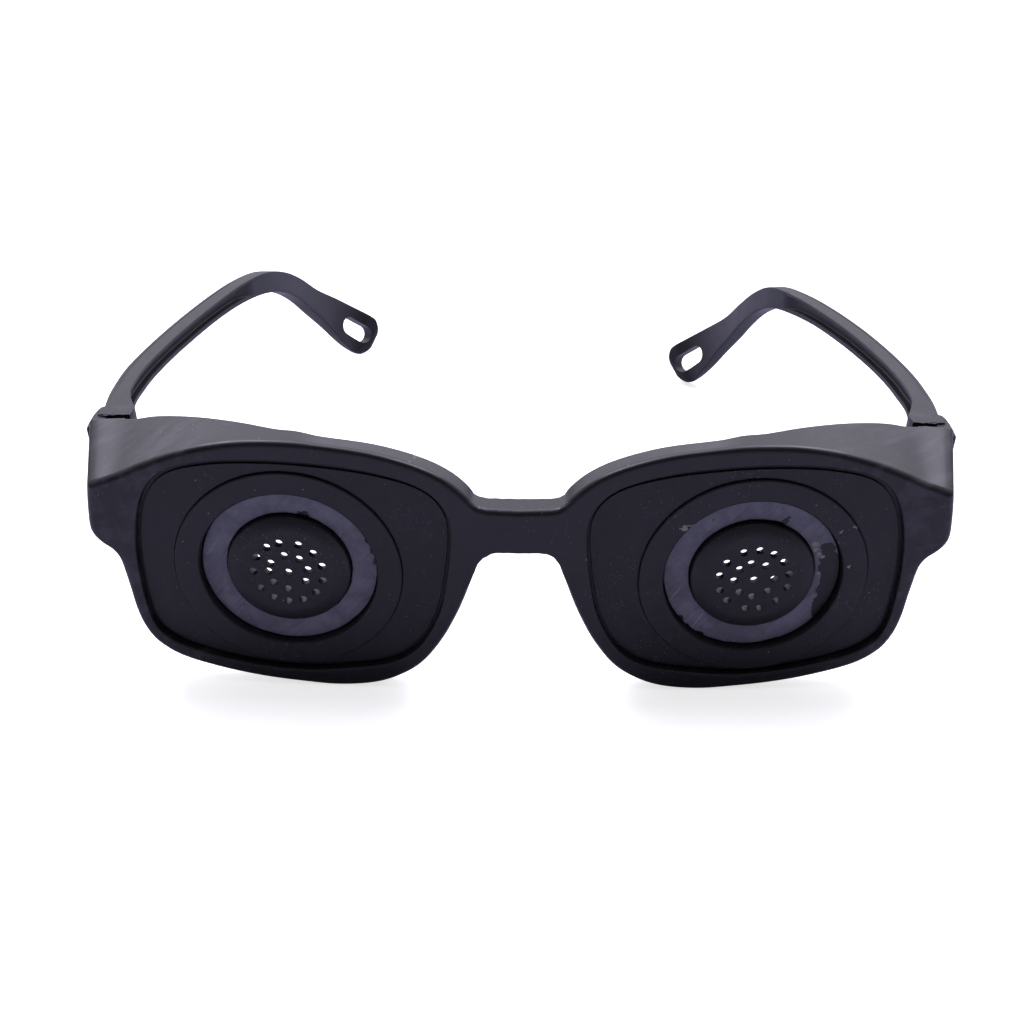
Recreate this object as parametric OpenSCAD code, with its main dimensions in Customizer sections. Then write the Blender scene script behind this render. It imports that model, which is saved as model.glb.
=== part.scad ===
// Pinhole glasses: a moulded front with two eye plates, and two hinged temples.
// X runs along the front, +Y towards the wearer, +Z up. The rims and the temple tips stand on z = 0.
// Left is the -X side. Sizes are in millimetres.

/* [Eye plates] */
// Distance between the middles of the two hole patterns
pupil_gap = 78; // [74:0.5:84]
// Angle by which each lens plane turns back from the nose, in degrees
wrap = 2.2; // [0:0.1:5]
// Width of the opening in each rim
lens_w = 53; // [50:0.5:55]
// Height of the opening in each rim
lens_h = 42.5; // [41:0.1:44]
// How far the opening's middle lies above the hole pattern's middle
lens_rise = 0.85; // [0:0.05:1.5]
// How far the opening lies nearer to the nose than the hole pattern
lens_shift = 1.25; // [0:0.05:2]
// Thickness of the eye plate
plate_t = 1.6; // [1.2:0.1:2.4]
// Gap all round the eye plate in its seat
plate_fit = 0.1; // [0.05:0.05:0.3]

/* [Rims] */
// Rim width on the nose side
rim_nose = 4.2; // [3:0.1:5]
// Rim width above the lens
rim_top = 3.5; // [3:0.1:6]
// Rim width on the temple side
rim_side = 2.5; // [1.8:0.1:3]
// Rim width below the lens
rim_bottom = 3.3; // [2.2:0.1:5]
// Thickness of the rim from front to back
rim_depth = 4.5; // [3.8:0.1:6]
// Distance from the rim's front face back to the eye plate
lip_depth = 1.7; // [1.3:0.1:2.5]
// How far the rim's lip covers the edge of the eye plate
lip_w = 1; // [0.6:0.1:1.5]

/* [Bridge] */
// Height of the bridge's lower edge above the hole pattern's middle
bridge_low = 5.5; // [4:0.1:8]
// Height of the bridge from its lower to its upper edge
bridge_h = 8.4; // [5:0.1:9]
// Thickness of the bridge from front to back
bridge_depth = 4.6; // [3:0.1:6]

/* [Brow and endpieces] */
// Thickness of the brow shelf behind the rim
shelf_t = 2.4; // [1.6:0.1:3.5]
// Distance from the rim's front face to the endpiece's back face
end_depth = 15.1; // [12:0.1:18]
// How far the endpiece stands out beyond the rim
end_out = 4.5; // [4:0.1:6]
// Height of the endpiece's front corner above the hole pattern's middle
end_top = 16.2; // [15:0.1:17]
// Height of the endpiece at its front corner
end_h = 10.2; // [9:0.1:12]
// How far the endpiece widens towards the back
end_flare = 2.4; // [0:0.1:3]
// How far the endpiece's top rises towards the back
end_rise = 4.4; // [1:0.1:5]
// How far the temple's top lies below the endpiece's back corner
root_drop = 1.4; // [0:0.1:2]

/* [Hinges] */
// Radius of the knuckles
knuckle_r = 1.9; // [1.6:0.1:2.2]
// Diameter of the hinge pin
pin_d = 1.4; // [1.2:0.1:1.6]
// Diameter of the pin's head
pin_head_d = 2.4; // [2:0.1:2.8]
// Thickness of the pin's head
pin_head_t = 0.6; // [0.4:0.1:1]
// Thickness of each ear of the endpiece
ear_t = 2.3; // [1.8:0.1:2.8]
// Thickness of the temple's tongue
tongue_t = 3.6; // [3:0.1:4.5]
// Gap between the hinge's faces that pass each other
hinge_gap = 0.3; // [0.2:0.05:0.4]
// Radial gap of the tongue's bore around the pin
pin_play = 0.05; // [0.02:0.01:0.08]

/* [Temples] */
// Width of the temple at the hinge
root_w = 6; // [5:0.1:6.5]
// Height of the temple at the hinge
root_h = 10.2; // [9:0.1:12]
// Length of the straight stretch from the hinge to the bend
shaft_len = 69.4; // [60:0.5:80]
// How far the bend lies further inwards than the hinge
shaft_in = 17.7; // [12:0.1:22]
// How far the temple's top edge falls from the hinge to the bend
shaft_fall = 6.3; // [2:0.1:8]
// Thickness of the temple behind the hinge
shaft_t = 3.5; // [2.8:0.1:4.5]
// Height of the temple's straight stretch
shaft_h = 3.9; // [3.4:0.1:6]
// Length of the stretch behind the ear, measured along Y
ear_len = 28.5; // [24:0.1:36]
// How far the tip lies further inwards than the bend
ear_in = 17.8; // [8:0.1:22]
// Width of the flat tip
tip_w = 9.4; // [8:0.1:12]
// Length of the eyelet in the tip
eyelet_l = 8.8; // [6:0.1:10]
// Width of the eyelet in the tip
eyelet_w = 4.1; // [3.5:0.1:5]
// Depth of the groove in the temple's inner face
groove_d = 1.3; // [0.6:0.1:1.8]
// Height of the lip above the groove
groove_lip = 0.6; // [0.5:0.1:1]
// Height of the lip below the groove
groove_foot = 1; // [0.6:0.1:1.2]
// How far the left temple's bend stands out further than the right one's
left_out = 2.2; // [0:0.1:3]
// How much further back the left tip lies than the right one
left_back = 3.3; // [0:0.1:4]
// How much higher the left tip lies than the right one
left_up = 5.2; // [0:0.1:6]

/* [Pinhole cups] */
// Diameter of the flange that lies on the eye plate
flange_d = 38.8; // [36:0.1:39.5]
// Thickness of the flange
flange_t = 0.9; // [0.8:0.1:1.5]
// Outer diameter of the recess for the magnet ring
recess_d = 30.3; // [30.2:0.1:33]
// Depth of the recess below the flange's face
recess_depth = 3.2; // [2.6:0.1:4]
// Wall and floor thickness of the cup around the recess
cup_wall = 1; // [0.8:0.1:1.5]
// Diameter of the raised middle at its foot
hub_d = 21; // [20:0.1:21.2]
// Diameter of the flat face with the pinholes
face_d = 16.5; // [15.8:0.1:18]
// Thickness of the face with the pinholes
face_t = 1.2; // [0.8:0.1:2]
// Depth of the hub's straight side below its sloping shoulder
shoulder_h = 1; // [0.5:0.1:1.8]
// Inner diameter of the tube behind the face
tube_id = 13.6; // [13.4:0.1:14.5]
// Wall thickness of the tube behind the face
tube_wall = 1.4; // [1:0.1:2]
// Length of the tube behind the face
tube_len = 6; // [5:0.1:8]
// Diameter of one pinhole
hole_d = 1.25; // [0.8:0.05:1.5]
// Radius of the outer ring of pinholes
outer_ring_r = 5.97; // [5.6:0.01:6]
// Number of pinholes in the outer ring
outer_holes = 13; // [10:1:14]
// Radius of the inner ring of pinholes
inner_ring_r = 3.4; // [3:0.05:3.8]
// Number of pinholes in the inner ring
inner_holes = 8; // [6:1:9]
// How far the right cup sits further out than the left one
right_cup_out = 0.6; // [0:0.1:0.8]
// How far the right cup sits lower than the left one
right_cup_drop = 0.4; // [0:0.1:0.6]

/* [Magnet rings] */
// Outer diameter of the magnet ring
magnet_od = 29.7; // [28:0.1:30]
// Inner diameter of the magnet ring
magnet_id = 21.4; // [21.3:0.1:23]
// Thickness of the magnet ring
magnet_t = 1.5; // [1:0.1:2]

/* [Hidden] */
$fn = 64;
eps = 0.01;
past = 40;             // reach of a cut beyond the material
curve_steps = 4;       // points between two points of a smooth outline
sweep_steps = 3;       // rings between two stations of a temple
half_gap = pupil_gap / 2;

// Each outline is a ring of points, as shares of the distance from the lens centre to each side
lens_shape = [
    [1, 0.2], [0.94, 0.61], [0.8, 0.86], [0.54, 0.97], [0.18, 1], [-0.18, 0.98], [-0.52, 0.92],
    [-0.8, 0.81], [-0.95, 0.64], [-1, 0.39], [-0.96, -0.1], [-0.9, -0.42], [-0.78, -0.71],
    [-0.59, -0.89], [-0.29, -0.97], [0.03, -1], [0.39, -0.94], [0.74, -0.8], [0.93, -0.61],
    [0.99, -0.29]];
rim_shape = [
    [1, 0.08], [0.985, 0.35], [0.9, 0.68], [0.69, 0.875], [0.41, 0.97], [0.11, 1], [-0.19, 0.97],
    [-0.46, 0.905], [-0.66, 0.83], [-0.81, 0.742], [-0.904, 0.668], [-0.966, 0.574], [-1, 0.44],
    [-0.99, 0.1],
    [-0.96, -0.1], [-0.9, -0.33], [-0.82, -0.56], [-0.7, -0.77], [-0.56, -0.9], [-0.41, -0.98],
    [-0.2, -1], [0, -0.985], [0.25, -0.94], [0.5, -0.87], [0.73, -0.77], [0.86, -0.65],
    [0.93, -0.52], [0.97, -0.36], [0.993, -0.15]];

// Smooth closed or open curve through points of any dimension
function blend(a, b, c, d, t) =
    0.5 * (2 * b + (c - a) * t + (2 * a - 5 * b + 4 * c - d) * t * t + (3 * b - a - 3 * c + d) * t * t * t);
function ringed(p, i) = p[(i + len(p)) % len(p)];
function closed_curve(p, n) = [for (i = [0 : len(p) - 1], k = [0 : n - 1])
    blend(ringed(p, i - 1), p[i], ringed(p, i + 1), ringed(p, i + 2), k / n)];
function held(p, i) = p[max(0, min(len(p) - 1, i))];
function open_curve(p, n) = [for (i = [0 : len(p) - 2], k = [0 : n - 1])
    blend(held(p, i - 1), p[i], p[i + 1], held(p, i + 2), k / n), p[len(p) - 1]];
function unit(v) = v / norm(v);

// A shape's share list spread over the distances to the nose, the temple, the top and the bottom
function spread(shape, nose, side, top, bottom) = [for (p = closed_curve(shape, curve_steps))
    [(p[0] < 0 ? p[0] * nose : p[0] * side) - lens_shift, p[1] < 0 ? p[1] * bottom : p[1] * top]];
lens_top = lens_h / 2 + lens_rise;
lens_low = lens_h / 2 - lens_rise;
function lens_outline(grow) =
    spread(lens_shape, lens_w / 2 + grow, lens_w / 2 + grow, lens_top + grow, lens_low + grow);
rim_outline = spread(rim_shape, lens_w / 2 + rim_nose, lens_w / 2 + rim_side,
                     lens_top + rim_top, lens_low + rim_bottom);

// A point of the right lens plane's frame, given in the frame of the whole front
function on_front(x, y, z) =
    [half_gap + x * cos(wrap) - y * sin(wrap), x * sin(wrap) + y * cos(wrap), z];

// Endpiece and hinge
front_y = -lip_depth;
rim_x = lens_w / 2 + rim_side - lens_shift;
end_x = rim_x + end_out;
end_front = on_front(end_x, front_y, end_top);
end_back_y = end_front[1] + end_depth;
end_back_x = end_front[0] + end_flare;
end_back_z = end_top + end_rise;
hinge_x = end_back_x - root_w / 2 - 1;
hinge_y = end_back_y + hinge_gap + knuckle_r;
stack_h = 2 * ear_t + tongue_t + hinge_gap;
temple_top = end_back_z - root_drop;
hinge_drop = 1.1;      // the knuckles lie this much below the temple's top
hinge_top = temple_top - hinge_drop;
hinge_low = hinge_top - stack_h;
tongue_low = hinge_low + ear_t + hinge_gap / 2;
root_y = hinge_y + knuckle_r + hinge_gap;
cheek_x = hinge_x + knuckle_r + hinge_gap;
cheek_out = 1.1;       // how far the temple's cheek stands out past the endpiece's back corner
cheek_len = 3.4;       // how far the cheek runs back past the root before it meets the shaft's side
cheek_points = [
    [cheek_x, end_back_y + hinge_gap], [end_back_x + cheek_out, end_back_y + hinge_gap],
    [end_back_x + cheek_out, root_y], [end_back_x - 0.05, root_y + cheek_len], [cheek_x, root_y + cheek_len]];

// Stations of the temple: share of length, share inwards, share of fall, thickness and height as shares
shaft_stations = [
    [0.139, 0.025, 0.095, 1.06, 1.23], [0.27, 0.077, 0.155, 1, 1.09], [0.416, 0.19, 0.24, 1, 1.01],
    [0.589, 0.385, 0.345, 1, 0.99], [0.762, 0.625, 0.495, 1, 1.01], [0.891, 0.83, 0.683, 1, 1.08],
    [1, 1, 1, 1, 1.15]];
// Stations behind the bend: share inwards, along Y and down, thickness, share of the tip's width, twist
tip_stations = [
    [0.124, 0.238, 0.136, 1, 0.48, 10], [0.236, 0.449, 0.312, 1, 0.52, 14],
    [0.36, 0.638, 0.51, 0.97, 0.62, 18],
    [0.523, 0.814, 0.688, 0.94, 0.81, 22], [0.725, 0.929, 0.848, 0.91, 0.98, 24],
    [0.907, 0.976, 0.946, 0.91, 1, 24], [1, 1, 1, 0.83, 0.64, 24]];
// How much of the left temple's own bend each station has: outwards, back and up
left_shares = [
    [0, 0, 0], [0, 0, 0], [0.14, 0, 0], [0.32, 0, 0], [0.45, 0, 0], [0.7, 0, 0.02],
    [0.9, 0, 0.13], [1, 0.1, 0.27], [0.9, 0.3, 0.37], [0.73, 0.55, 0.56], [0.6, 0.73, 0.75],
    [0.4, 0.8, 0.88], [0.23, 0.85, 0.96],
    [0.1, 0.9, 1], [0, 0.95, 1], [-0.16, 1, 1]];
bend_twist = 6;
tip_rest = 2.25;       // height of the right tip's last station above the rims' lowest point
root_end = 0.05;       // share of the shaft that keeps the hinge's section
rim_low = min([for (p = rim_outline) p[1]]);
bend_x = end_back_x - shaft_in - shaft_t / 2;
bend_y = root_y + shaft_len;
bend_z = temple_top - shaft_fall - shaft_h * shaft_stations[len(shaft_stations) - 1][4] / 2;
ear_down = bend_z - rim_low - tip_rest;

// One station of the sweep: x, y, z, thickness, height, twist
root_station = [end_back_x - root_w / 2, root_y, temple_top - root_h / 2, root_w, root_h, 0];
stations = concat(
    [root_station, root_station + [0, shaft_len * root_end, 0, 0, -0.4, 0]],
    [for (s = shaft_stations) let (t = shaft_t * s[3], h = shaft_h * s[4])
        [end_back_x - shaft_in * s[1] - t / 2, root_y + shaft_len * s[0],
         temple_top - shaft_fall * s[2] - h / 2, t, h, s[0] < 1 ? 0 : bend_twist]],
    [for (s = tip_stations)
        [bend_x - ear_in * s[0], bend_y + ear_len * s[1], bend_z - ear_down * s[2],
         shaft_t * s[3], tip_w * s[4], s[5]]]);
left_stations = [for (i = [0 : len(stations) - 1]) let (q = left_shares[i])
    stations[i] + [left_out * q[0], left_back * q[1], left_up * q[2], 0, 0, 0]];
function sweep(side) = open_curve(side < 0 ? left_stations : stations, sweep_steps);
function centre(w, i) = [w[i][0], w[i][1], w[i][2]];
function along(w, i) = i == 0 ? [0, 1, 0] : unit(centre(w, min(i + 1, len(w) - 1)) - centre(w, i - 1));
function flat_side(w, i) = unit(cross([0, 0, 1], along(w, i)));
function thick_way(w, i) =
    flat_side(w, i) * cos(w[i][5]) + cross(along(w, i), flat_side(w, i)) * sin(w[i][5]);
function high_way(w, i) = cross(along(w, i), thick_way(w, i));
function placed(w, i, q) = centre(w, i) + thick_way(w, i) * q[0] + high_way(w, i) * q[1];
function chamfered(t, h, c) = [
    [-t / 2 + c, -h / 2], [t / 2 - c, -h / 2], [t / 2, -h / 2 + c], [t / 2, h / 2 - c],
    [t / 2 - c, h / 2], [-t / 2 + c, h / 2], [-t / 2, h / 2 - c], [-t / 2, -h / 2 + c]];
chamfer_share = 0.2;
function temple_rings(w) = [for (i = [0 : len(w) - 1])
    [for (q = chamfered(w[i][3], w[i][4], chamfer_share * min(w[i][3], w[i][4]))) placed(w, i, q)]];
groove_first = 2 * sweep_steps;
groove_last = 7 * sweep_steps;
function groove_rings(w) = [for (i = [groove_first : groove_last])
    let (t = w[i][3] / 2, low = groove_foot - w[i][4] / 2, high = w[i][4] / 2 - groove_lip)
    [for (q = [[t - groove_d, low], [t + groove_d, low], [t + groove_d, high], [t - groove_d, high]])
        placed(w, i, q)]];
eyelet_at = 13 * sweep_steps + 1;
eyelet_back = 0.3;     // the eyelet's middle lies this much before its station
function slot_points(l, w) = [for (s = [0, 1], a = [-90 : 22.5 : 90])
    let (b = a + 180 * s) [(s == 0 ? 1 : -1) * (l - w) / 2 + w / 2 * cos(b), w / 2 * sin(b)]];
function eyelet_rings(w) = [for (s = [1, -1])
    [for (q = slot_points(eyelet_l, eyelet_w))
        centre(w, eyelet_at) + along(w, eyelet_at) * (q[0] - eyelet_back) + high_way(w, eyelet_at) * q[1]
        + thick_way(w, eyelet_at) * s * shaft_t]];

// The whole part stands on z = 0 with its middle over the origin
front_most = on_front(-half_gap, front_y, 0)[1];
temple_points = [for (side = [-1, 1], r = temple_rings(sweep(side)), p = r) p];
back_most = max([for (p = temple_points) p[1]]);
mid_y = (front_most + back_most) / 2;
table_z = min(rim_low, min([for (p = temple_points) p[2]]));

// Cup levels, counted from the eye plate's face towards the wearer
recess_floor = recess_depth - flange_t;
cup_back = recess_floor + cup_wall;
tube_end = face_t - flange_t + tube_len;
tube_od = tube_id + 2 * tube_wall;
body_d = recess_d + 2 * cup_wall;
outer_turn = [-12.4, 6.7];   // turn of the outer pinhole ring, left and right
inner_turn = [6.6, 4.6];     // turn of the inner pinhole ring, left and right

module place() translate([0, -mid_y, -table_z]) children();
module eye(side) place() translate([side * half_gap, 0, 0]) rotate([0, 0, side * wrap]) children();
module seated(side) translate(side > 0 ? [right_cup_out, 0, -right_cup_drop] : [0, 0, 0]) children();
// Upright outline in the lens plane, from one depth to another
module upright(points, side, from, to)
    translate([0, to, 0]) rotate([90, 0, 0]) linear_extrude(to - from)
        polygon([for (p = points) [side * p[0], p[1]]]);
// Closed skin over rings with equal numbers of points
module skin(rings) {
    n = len(rings);
    m = len(rings[0]);
    sides = [for (i = [0 : n - 2], j = [0 : m - 1])
        let (a = i * m + j, b = i * m + (j + 1) % m) each [[a, b + m, b], [a, a + m, b + m]]];
    polyhedron([for (r = rings) each r],
               concat([[for (j = [0 : m - 1]) j]], sides, [[for (j = [m - 1 : -1 : 0]) (n - 1) * m + j]]));
}

// Brow shelf: a thin roof that deepens from the rim's middle to the endpiece
// Each spot: share of the rim's side, share of the endpiece's depth, share of the endpiece's rise
brow_spots = [[-0.05, 0.285, 0], [0.28, 0.464, 0.03], [0.54, 0.669, 0.08], [0.78, 0.841, 0.2],
              [0.97, 0.954, 0.51]];
brow_round = 0.4;      // how far the brow's front falls from the rim's top at its first third
brow_slope = 1.7;      // and at its middle
brow_swell = 0.7;      // how far it stands above the straight line to the endpiece
brow_corner = 2.7;     // and above the endpiece's front corner
rim_top_z = lens_top + rim_top;
function brow_front(x) = let (s = x / rim_x)
    lookup(s, [[-0.1, rim_top_z - 0.1], [0.28, rim_top_z - brow_round], [0.54, rim_top_z - brow_slope],
               [0.78, (rim_top_z + end_top) / 2 + brow_swell], [0.97, end_top + brow_corner]]);
function brow_ring(s) =
    let (x = s[0] * rim_x, f = brow_front(x), b = f + end_rise * s[2], depth = s[1] * end_depth)
    [on_front(x, 0, f - shelf_t), on_front(x, front_y + depth, b - shelf_t),
     on_front(x, front_y + depth, b), on_front(x, 0, f)];
module brow() skin([for (s = brow_spots) brow_ring(s)]);

// Endpiece: the solid corner block that carries the hinge
end_in = rim_x - rim_side;
end_low = end_top - end_h;
foot_x = 2;            // width of the slope under the endpiece
foot_z = 1.8;          // height of that slope
foot_out = 0.6;        // how far the endpiece widens towards its foot
block_in = 1.8;        // how far its back reaches inwards past the temple
block_up = 0.5;        // how far its inner back corner stands above the outer one
heel = 0.8;            // height of the small slope at the foot of its back
heel_drop = 1;         // how far the block reaches below the hinge
module endpiece() {
    block_x = end_back_x - root_w - block_in;
    front_ring = [on_front(end_in, front_y, brow_front(end_in)), on_front(end_x, front_y, end_top),
                  on_front(end_x + foot_out, front_y, end_low + foot_z),
                  on_front(end_x - foot_x + foot_out, front_y, end_low),
                  on_front(end_in, front_y, end_low - foot_z)];
    back_ring = [[block_x, end_back_y, end_back_z + block_up], [end_back_x, end_back_y, end_back_z],
                 [end_back_x + foot_out / 2, end_back_y, hinge_low + heel],
                 [end_back_x - foot_x, end_back_y, hinge_low - heel_drop],
                 [block_x, end_back_y, hinge_low - heel_drop]];
    skin([front_ring, back_ring]);
}

// Slope from the endpiece's lower corner into the rim, as shares of its width and height
slope_h = 9;
slope_w = end_x - foot_x + foot_out - end_in;
module end_fillet()
    translate([half_gap, 0, 0]) rotate([0, 0, wrap])
        upright([for (q = [[1, 0], [0.69, 0.29], [0.46, 0.67], [0, 1], [0, 0]])
                    [end_in + slope_w * q[0], end_low - slope_h * q[1]]], 1, front_y, front_y + rim_depth);

// The rim's upper outer corner follows the brow line out to the endpiece
corner_outline = concat([for (s = [0.25 : 0.05 : 0.9]) [s * rim_x, brow_front(s * rim_x)]],
                        [[end_in + 0.5, brow_front(end_in + 0.5)], [end_in + 0.5, 0], [0.25 * rim_x, 0]]);

module half_front() {
    translate([half_gap, 0, 0]) rotate([0, 0, wrap]) {
        upright(rim_outline, 1, front_y, front_y + rim_depth);
        upright(corner_outline, 1, front_y, front_y + rim_depth);
    }
    brow();
    endpiece();
    end_fillet();
    for (z = [hinge_low, hinge_top - ear_t]) translate([hinge_x, hinge_y, z]) {
        cylinder(r = knuckle_r, h = ear_t);
        translate([-knuckle_r, end_back_y - hinge_y - 1, 0])
            cube([2 * knuckle_r, hinge_y - end_back_y + 1, ear_t]);
    }
}
module half_cuts() {
    translate([half_gap, 0, 0]) rotate([0, 0, wrap]) {
        upright(lens_outline(0), 1, -past, past);
        upright(lens_outline(lip_w), 1, 0, past);
    }
    translate([hinge_x, hinge_y, hinge_low - eps]) cylinder(d = pin_d, h = stack_h + 2 * eps);
    translate([hinge_x, hinge_y, hinge_low - eps]) cylinder(d = pin_head_d, h = pin_head_t + eps);
}
bridge_grip = 1.65;    // reach of the bridge into each rim
bridge_x = on_front(-lens_shift - lens_w / 2 - rim_nose, 0, 0)[0] + bridge_grip;
// Fillet from the bridge's lower edge into the rim, as shares of its width and height
fillet_w = 6;
fillet_h = 8;
bridge_side = [for (q = [[-0.05, 1], [0.167, 0.51], [0.25, 0.35], [0.367, 0.2], [0.467, 0.1],
                         [0.667, 0.025], [1, 0]])
    [bridge_x - fillet_w * q[0], bridge_low - fillet_h * q[1]]];
module bridge()
    upright(concat([[-bridge_x, bridge_low + bridge_h], [bridge_x, bridge_low + bridge_h]], bridge_side,
                   [for (i = [len(bridge_side) - 1 : -1 : 0]) [-bridge_side[i][0], bridge_side[i][1]]]),
            1, front_most, front_most + bridge_depth);

module front_frame() color([0.13, 0.13, 0.14]) place() difference() {
    union() {
        half_front();
        mirror([1, 0, 0]) half_front();
        bridge();
    }
    half_cuts();
    mirror([1, 0, 0]) half_cuts();
}

module eye_plate(side) color([0.1, 0.1, 0.11]) eye(side) difference() {
    upright(lens_outline(lip_w - plate_fit), side, 0, plate_t);
    seated(side) translate([0, plate_t + eps, 0]) rotate([90, 0, 0])
        cylinder(d = body_d + plate_fit, h = plate_t + 2 * eps);
}

// Turned cup: flange, recess for the ring, hub with the perforated face, and the tube behind it
cup_profile = [
    [0, flange_t], [face_d / 2, flange_t], [hub_d / 2, flange_t - recess_depth + magnet_t + shoulder_h],
    [hub_d / 2, -recess_floor], [recess_d / 2, -recess_floor], [recess_d / 2, flange_t],
    [flange_d / 2, flange_t], [flange_d / 2, 0], [body_d / 2, 0], [body_d / 2, -cup_back],
    [tube_od / 2, -cup_back],
    [tube_od / 2, -tube_end], [tube_id / 2, -tube_end], [tube_id / 2, flange_t - face_t],
    [0, flange_t - face_t]];
module pinhole(r, a) rotate([0, 0, a]) translate([r, 0, flange_t - face_t - eps])
    cylinder(d = hole_d, h = face_t + 2 * eps, $fn = 24);
module pinhole_cup(side) color([0.12, 0.12, 0.13]) eye(side) seated(side) rotate([90, 0, 0]) difference() {
    rotate_extrude() polygon(cup_profile);
    pinhole(0, 0);
    for (i = [0 : outer_holes - 1])
        pinhole(outer_ring_r, outer_turn[side < 0 ? 0 : 1] + i * 360 / outer_holes);
    for (i = [0 : inner_holes - 1])
        pinhole(inner_ring_r, inner_turn[side < 0 ? 0 : 1] + i * 360 / inner_holes);
}

module magnet_ring(side) color([0.27, 0.26, 0.3]) eye(side) seated(side)
    translate([0, recess_floor, 0]) rotate([90, 0, 0]) difference() {
        cylinder(d = magnet_od, h = magnet_t);
        translate([0, 0, -eps]) cylinder(d = magnet_id, h = magnet_t + 2 * eps);
    }

// A temple as the right one stands; the left one is mirrored
module temple_body(side) let (w = sweep(side)) difference() {
    union() {
        skin(temple_rings(w));
        translate([hinge_x, hinge_y, tongue_low]) {
            cylinder(r = knuckle_r, h = tongue_t);
            translate([-knuckle_r, 0, 0]) cube([2 * knuckle_r, root_y - hinge_y + 1, tongue_t]);
        }
        translate([0, 0, hinge_low]) linear_extrude(height = stack_h) polygon(cheek_points);
    }
    skin(groove_rings(w));
    skin(eyelet_rings(w));
    translate([hinge_x, hinge_y, tongue_low - eps])
        cylinder(d = pin_d + 2 * pin_play, h = tongue_t + 2 * eps);
}
module hinge_pin_body() translate([hinge_x, hinge_y, hinge_low]) {
    cylinder(d = pin_d, h = stack_h);
    cylinder(d = pin_head_d, h = pin_head_t);
}
module right_temple() color([0.15, 0.15, 0.16]) place() temple_body(1);
module left_temple() color([0.15, 0.15, 0.16]) place() mirror([1, 0, 0]) temple_body(-1);
module right_hinge_pin() color([0.35, 0.35, 0.36]) place() hinge_pin_body();
module left_hinge_pin() color([0.35, 0.35, 0.36]) place() mirror([1, 0, 0]) hinge_pin_body();

front_frame();
eye_plate(-1);  // left_eye_plate
eye_plate(1);  // right_eye_plate
pinhole_cup(-1);  // left_pinhole_cup
pinhole_cup(1);  // right_pinhole_cup
magnet_ring(-1);  // left_magnet_ring
magnet_ring(1);  // right_magnet_ring
left_temple();
right_temple();
left_hinge_pin();
right_hinge_pin();
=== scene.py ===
"""Pinhole glasses: the finish of a moulded black front with two perforated eye cups and two grooved temples.
The sizes are millimetres of the real object, and MM turns them into metres."""

import math
import random

import bmesh
import bpy
import numpy as np
from mathutils import Matrix, Vector
from mathutils import noise as field


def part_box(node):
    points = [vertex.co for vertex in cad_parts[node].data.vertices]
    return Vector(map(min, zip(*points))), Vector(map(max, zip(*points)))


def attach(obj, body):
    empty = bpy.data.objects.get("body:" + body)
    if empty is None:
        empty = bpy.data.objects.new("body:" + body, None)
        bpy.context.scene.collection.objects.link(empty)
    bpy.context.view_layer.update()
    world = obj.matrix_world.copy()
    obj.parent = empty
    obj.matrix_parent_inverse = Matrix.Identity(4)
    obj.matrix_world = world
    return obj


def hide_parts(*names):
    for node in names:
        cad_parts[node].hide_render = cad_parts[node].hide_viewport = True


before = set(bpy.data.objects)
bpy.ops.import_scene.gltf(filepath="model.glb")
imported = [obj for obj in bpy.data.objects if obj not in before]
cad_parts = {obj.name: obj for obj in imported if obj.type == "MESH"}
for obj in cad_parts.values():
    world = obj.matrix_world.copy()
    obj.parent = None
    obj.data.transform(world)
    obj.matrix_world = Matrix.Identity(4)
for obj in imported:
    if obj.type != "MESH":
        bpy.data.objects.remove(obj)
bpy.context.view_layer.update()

bl_info = {
    "name": "Pinhole Glasses",
    "version": (1, 0, 0),
    "blender": (4, 5, 0),
    "location": "View3D > Sidebar > Glasses",
    "description": "Models a pair of moulded pinhole glasses around its mechanical frame",
    "category": "Add Mesh",
}

MM = 0.001
FRONT_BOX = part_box("front_frame")
SIDES = {"left": -1, "right": 1}

# Where the eye cups' middle planes cross, in the frame's own coordinates
PLATE_TO_FRONT = 3.196
MID_Y = -(FRONT_BOX[0].y / MM + PLATE_TO_FRONT)
EYE_HEIGHT = 23.7


def number(name, text, default):
    """A length, an angle or a power that can be set in the scene."""
    return bpy.props.FloatProperty(name=name, description=text, default=default)


def tint(name, text, default):
    """A colour that can be set in the scene."""
    return bpy.props.FloatVectorProperty(name=name, description=text, subtype="COLOR", default=default)


class FrontSizes(bpy.types.PropertyGroup):
    pupil_gap: number("Pupil gap", "Distance between the hole patterns, mm", 78)
    wrap: number("Wrap", "Turn of each lens plane, degrees", 2.2)
    lens_w: number("Lens width", "Width of a rim's opening, mm", 53)
    lens_h: number("Lens height", "Height of a rim's opening, mm", 42.5)
    lens_rise: number("Lens rise", "Offset of the opening upwards, mm", 0.85)
    lens_shift: number("Lens shift", "Offset towards the nose, mm", 1.25)
    lip_depth: number("Lip depth", "Rim's front face to the plate, mm", 1.7)
    rim_back: number("Rim back", "Plate's face to the rim's back, mm", 2.8)
    lip_w: number("Lip width", "How far the lip covers the plate, mm", 1.0)
    plate_t: number("Plate thickness", "Thickness of an eye plate, mm", 1.6)
    land_t: number("Plate's land", "Height of the field round the cup, mm", 0.42)
    edge: number("Edge radius", "Rounding of the rim's front edge, mm", 1.2)
    bridge_low: number("Bridge low", "Lower edge above the eye line, mm", 5.6)
    bridge_top: number("Bridge top", "Upper edge above the eye line, mm", 13.9)
    cup_out: number("Cup out", "Right cup's offset outwards, mm", 0.6)
    cup_drop: number("Cup drop", "Right cup's offset downwards, mm", 0.4)


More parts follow.
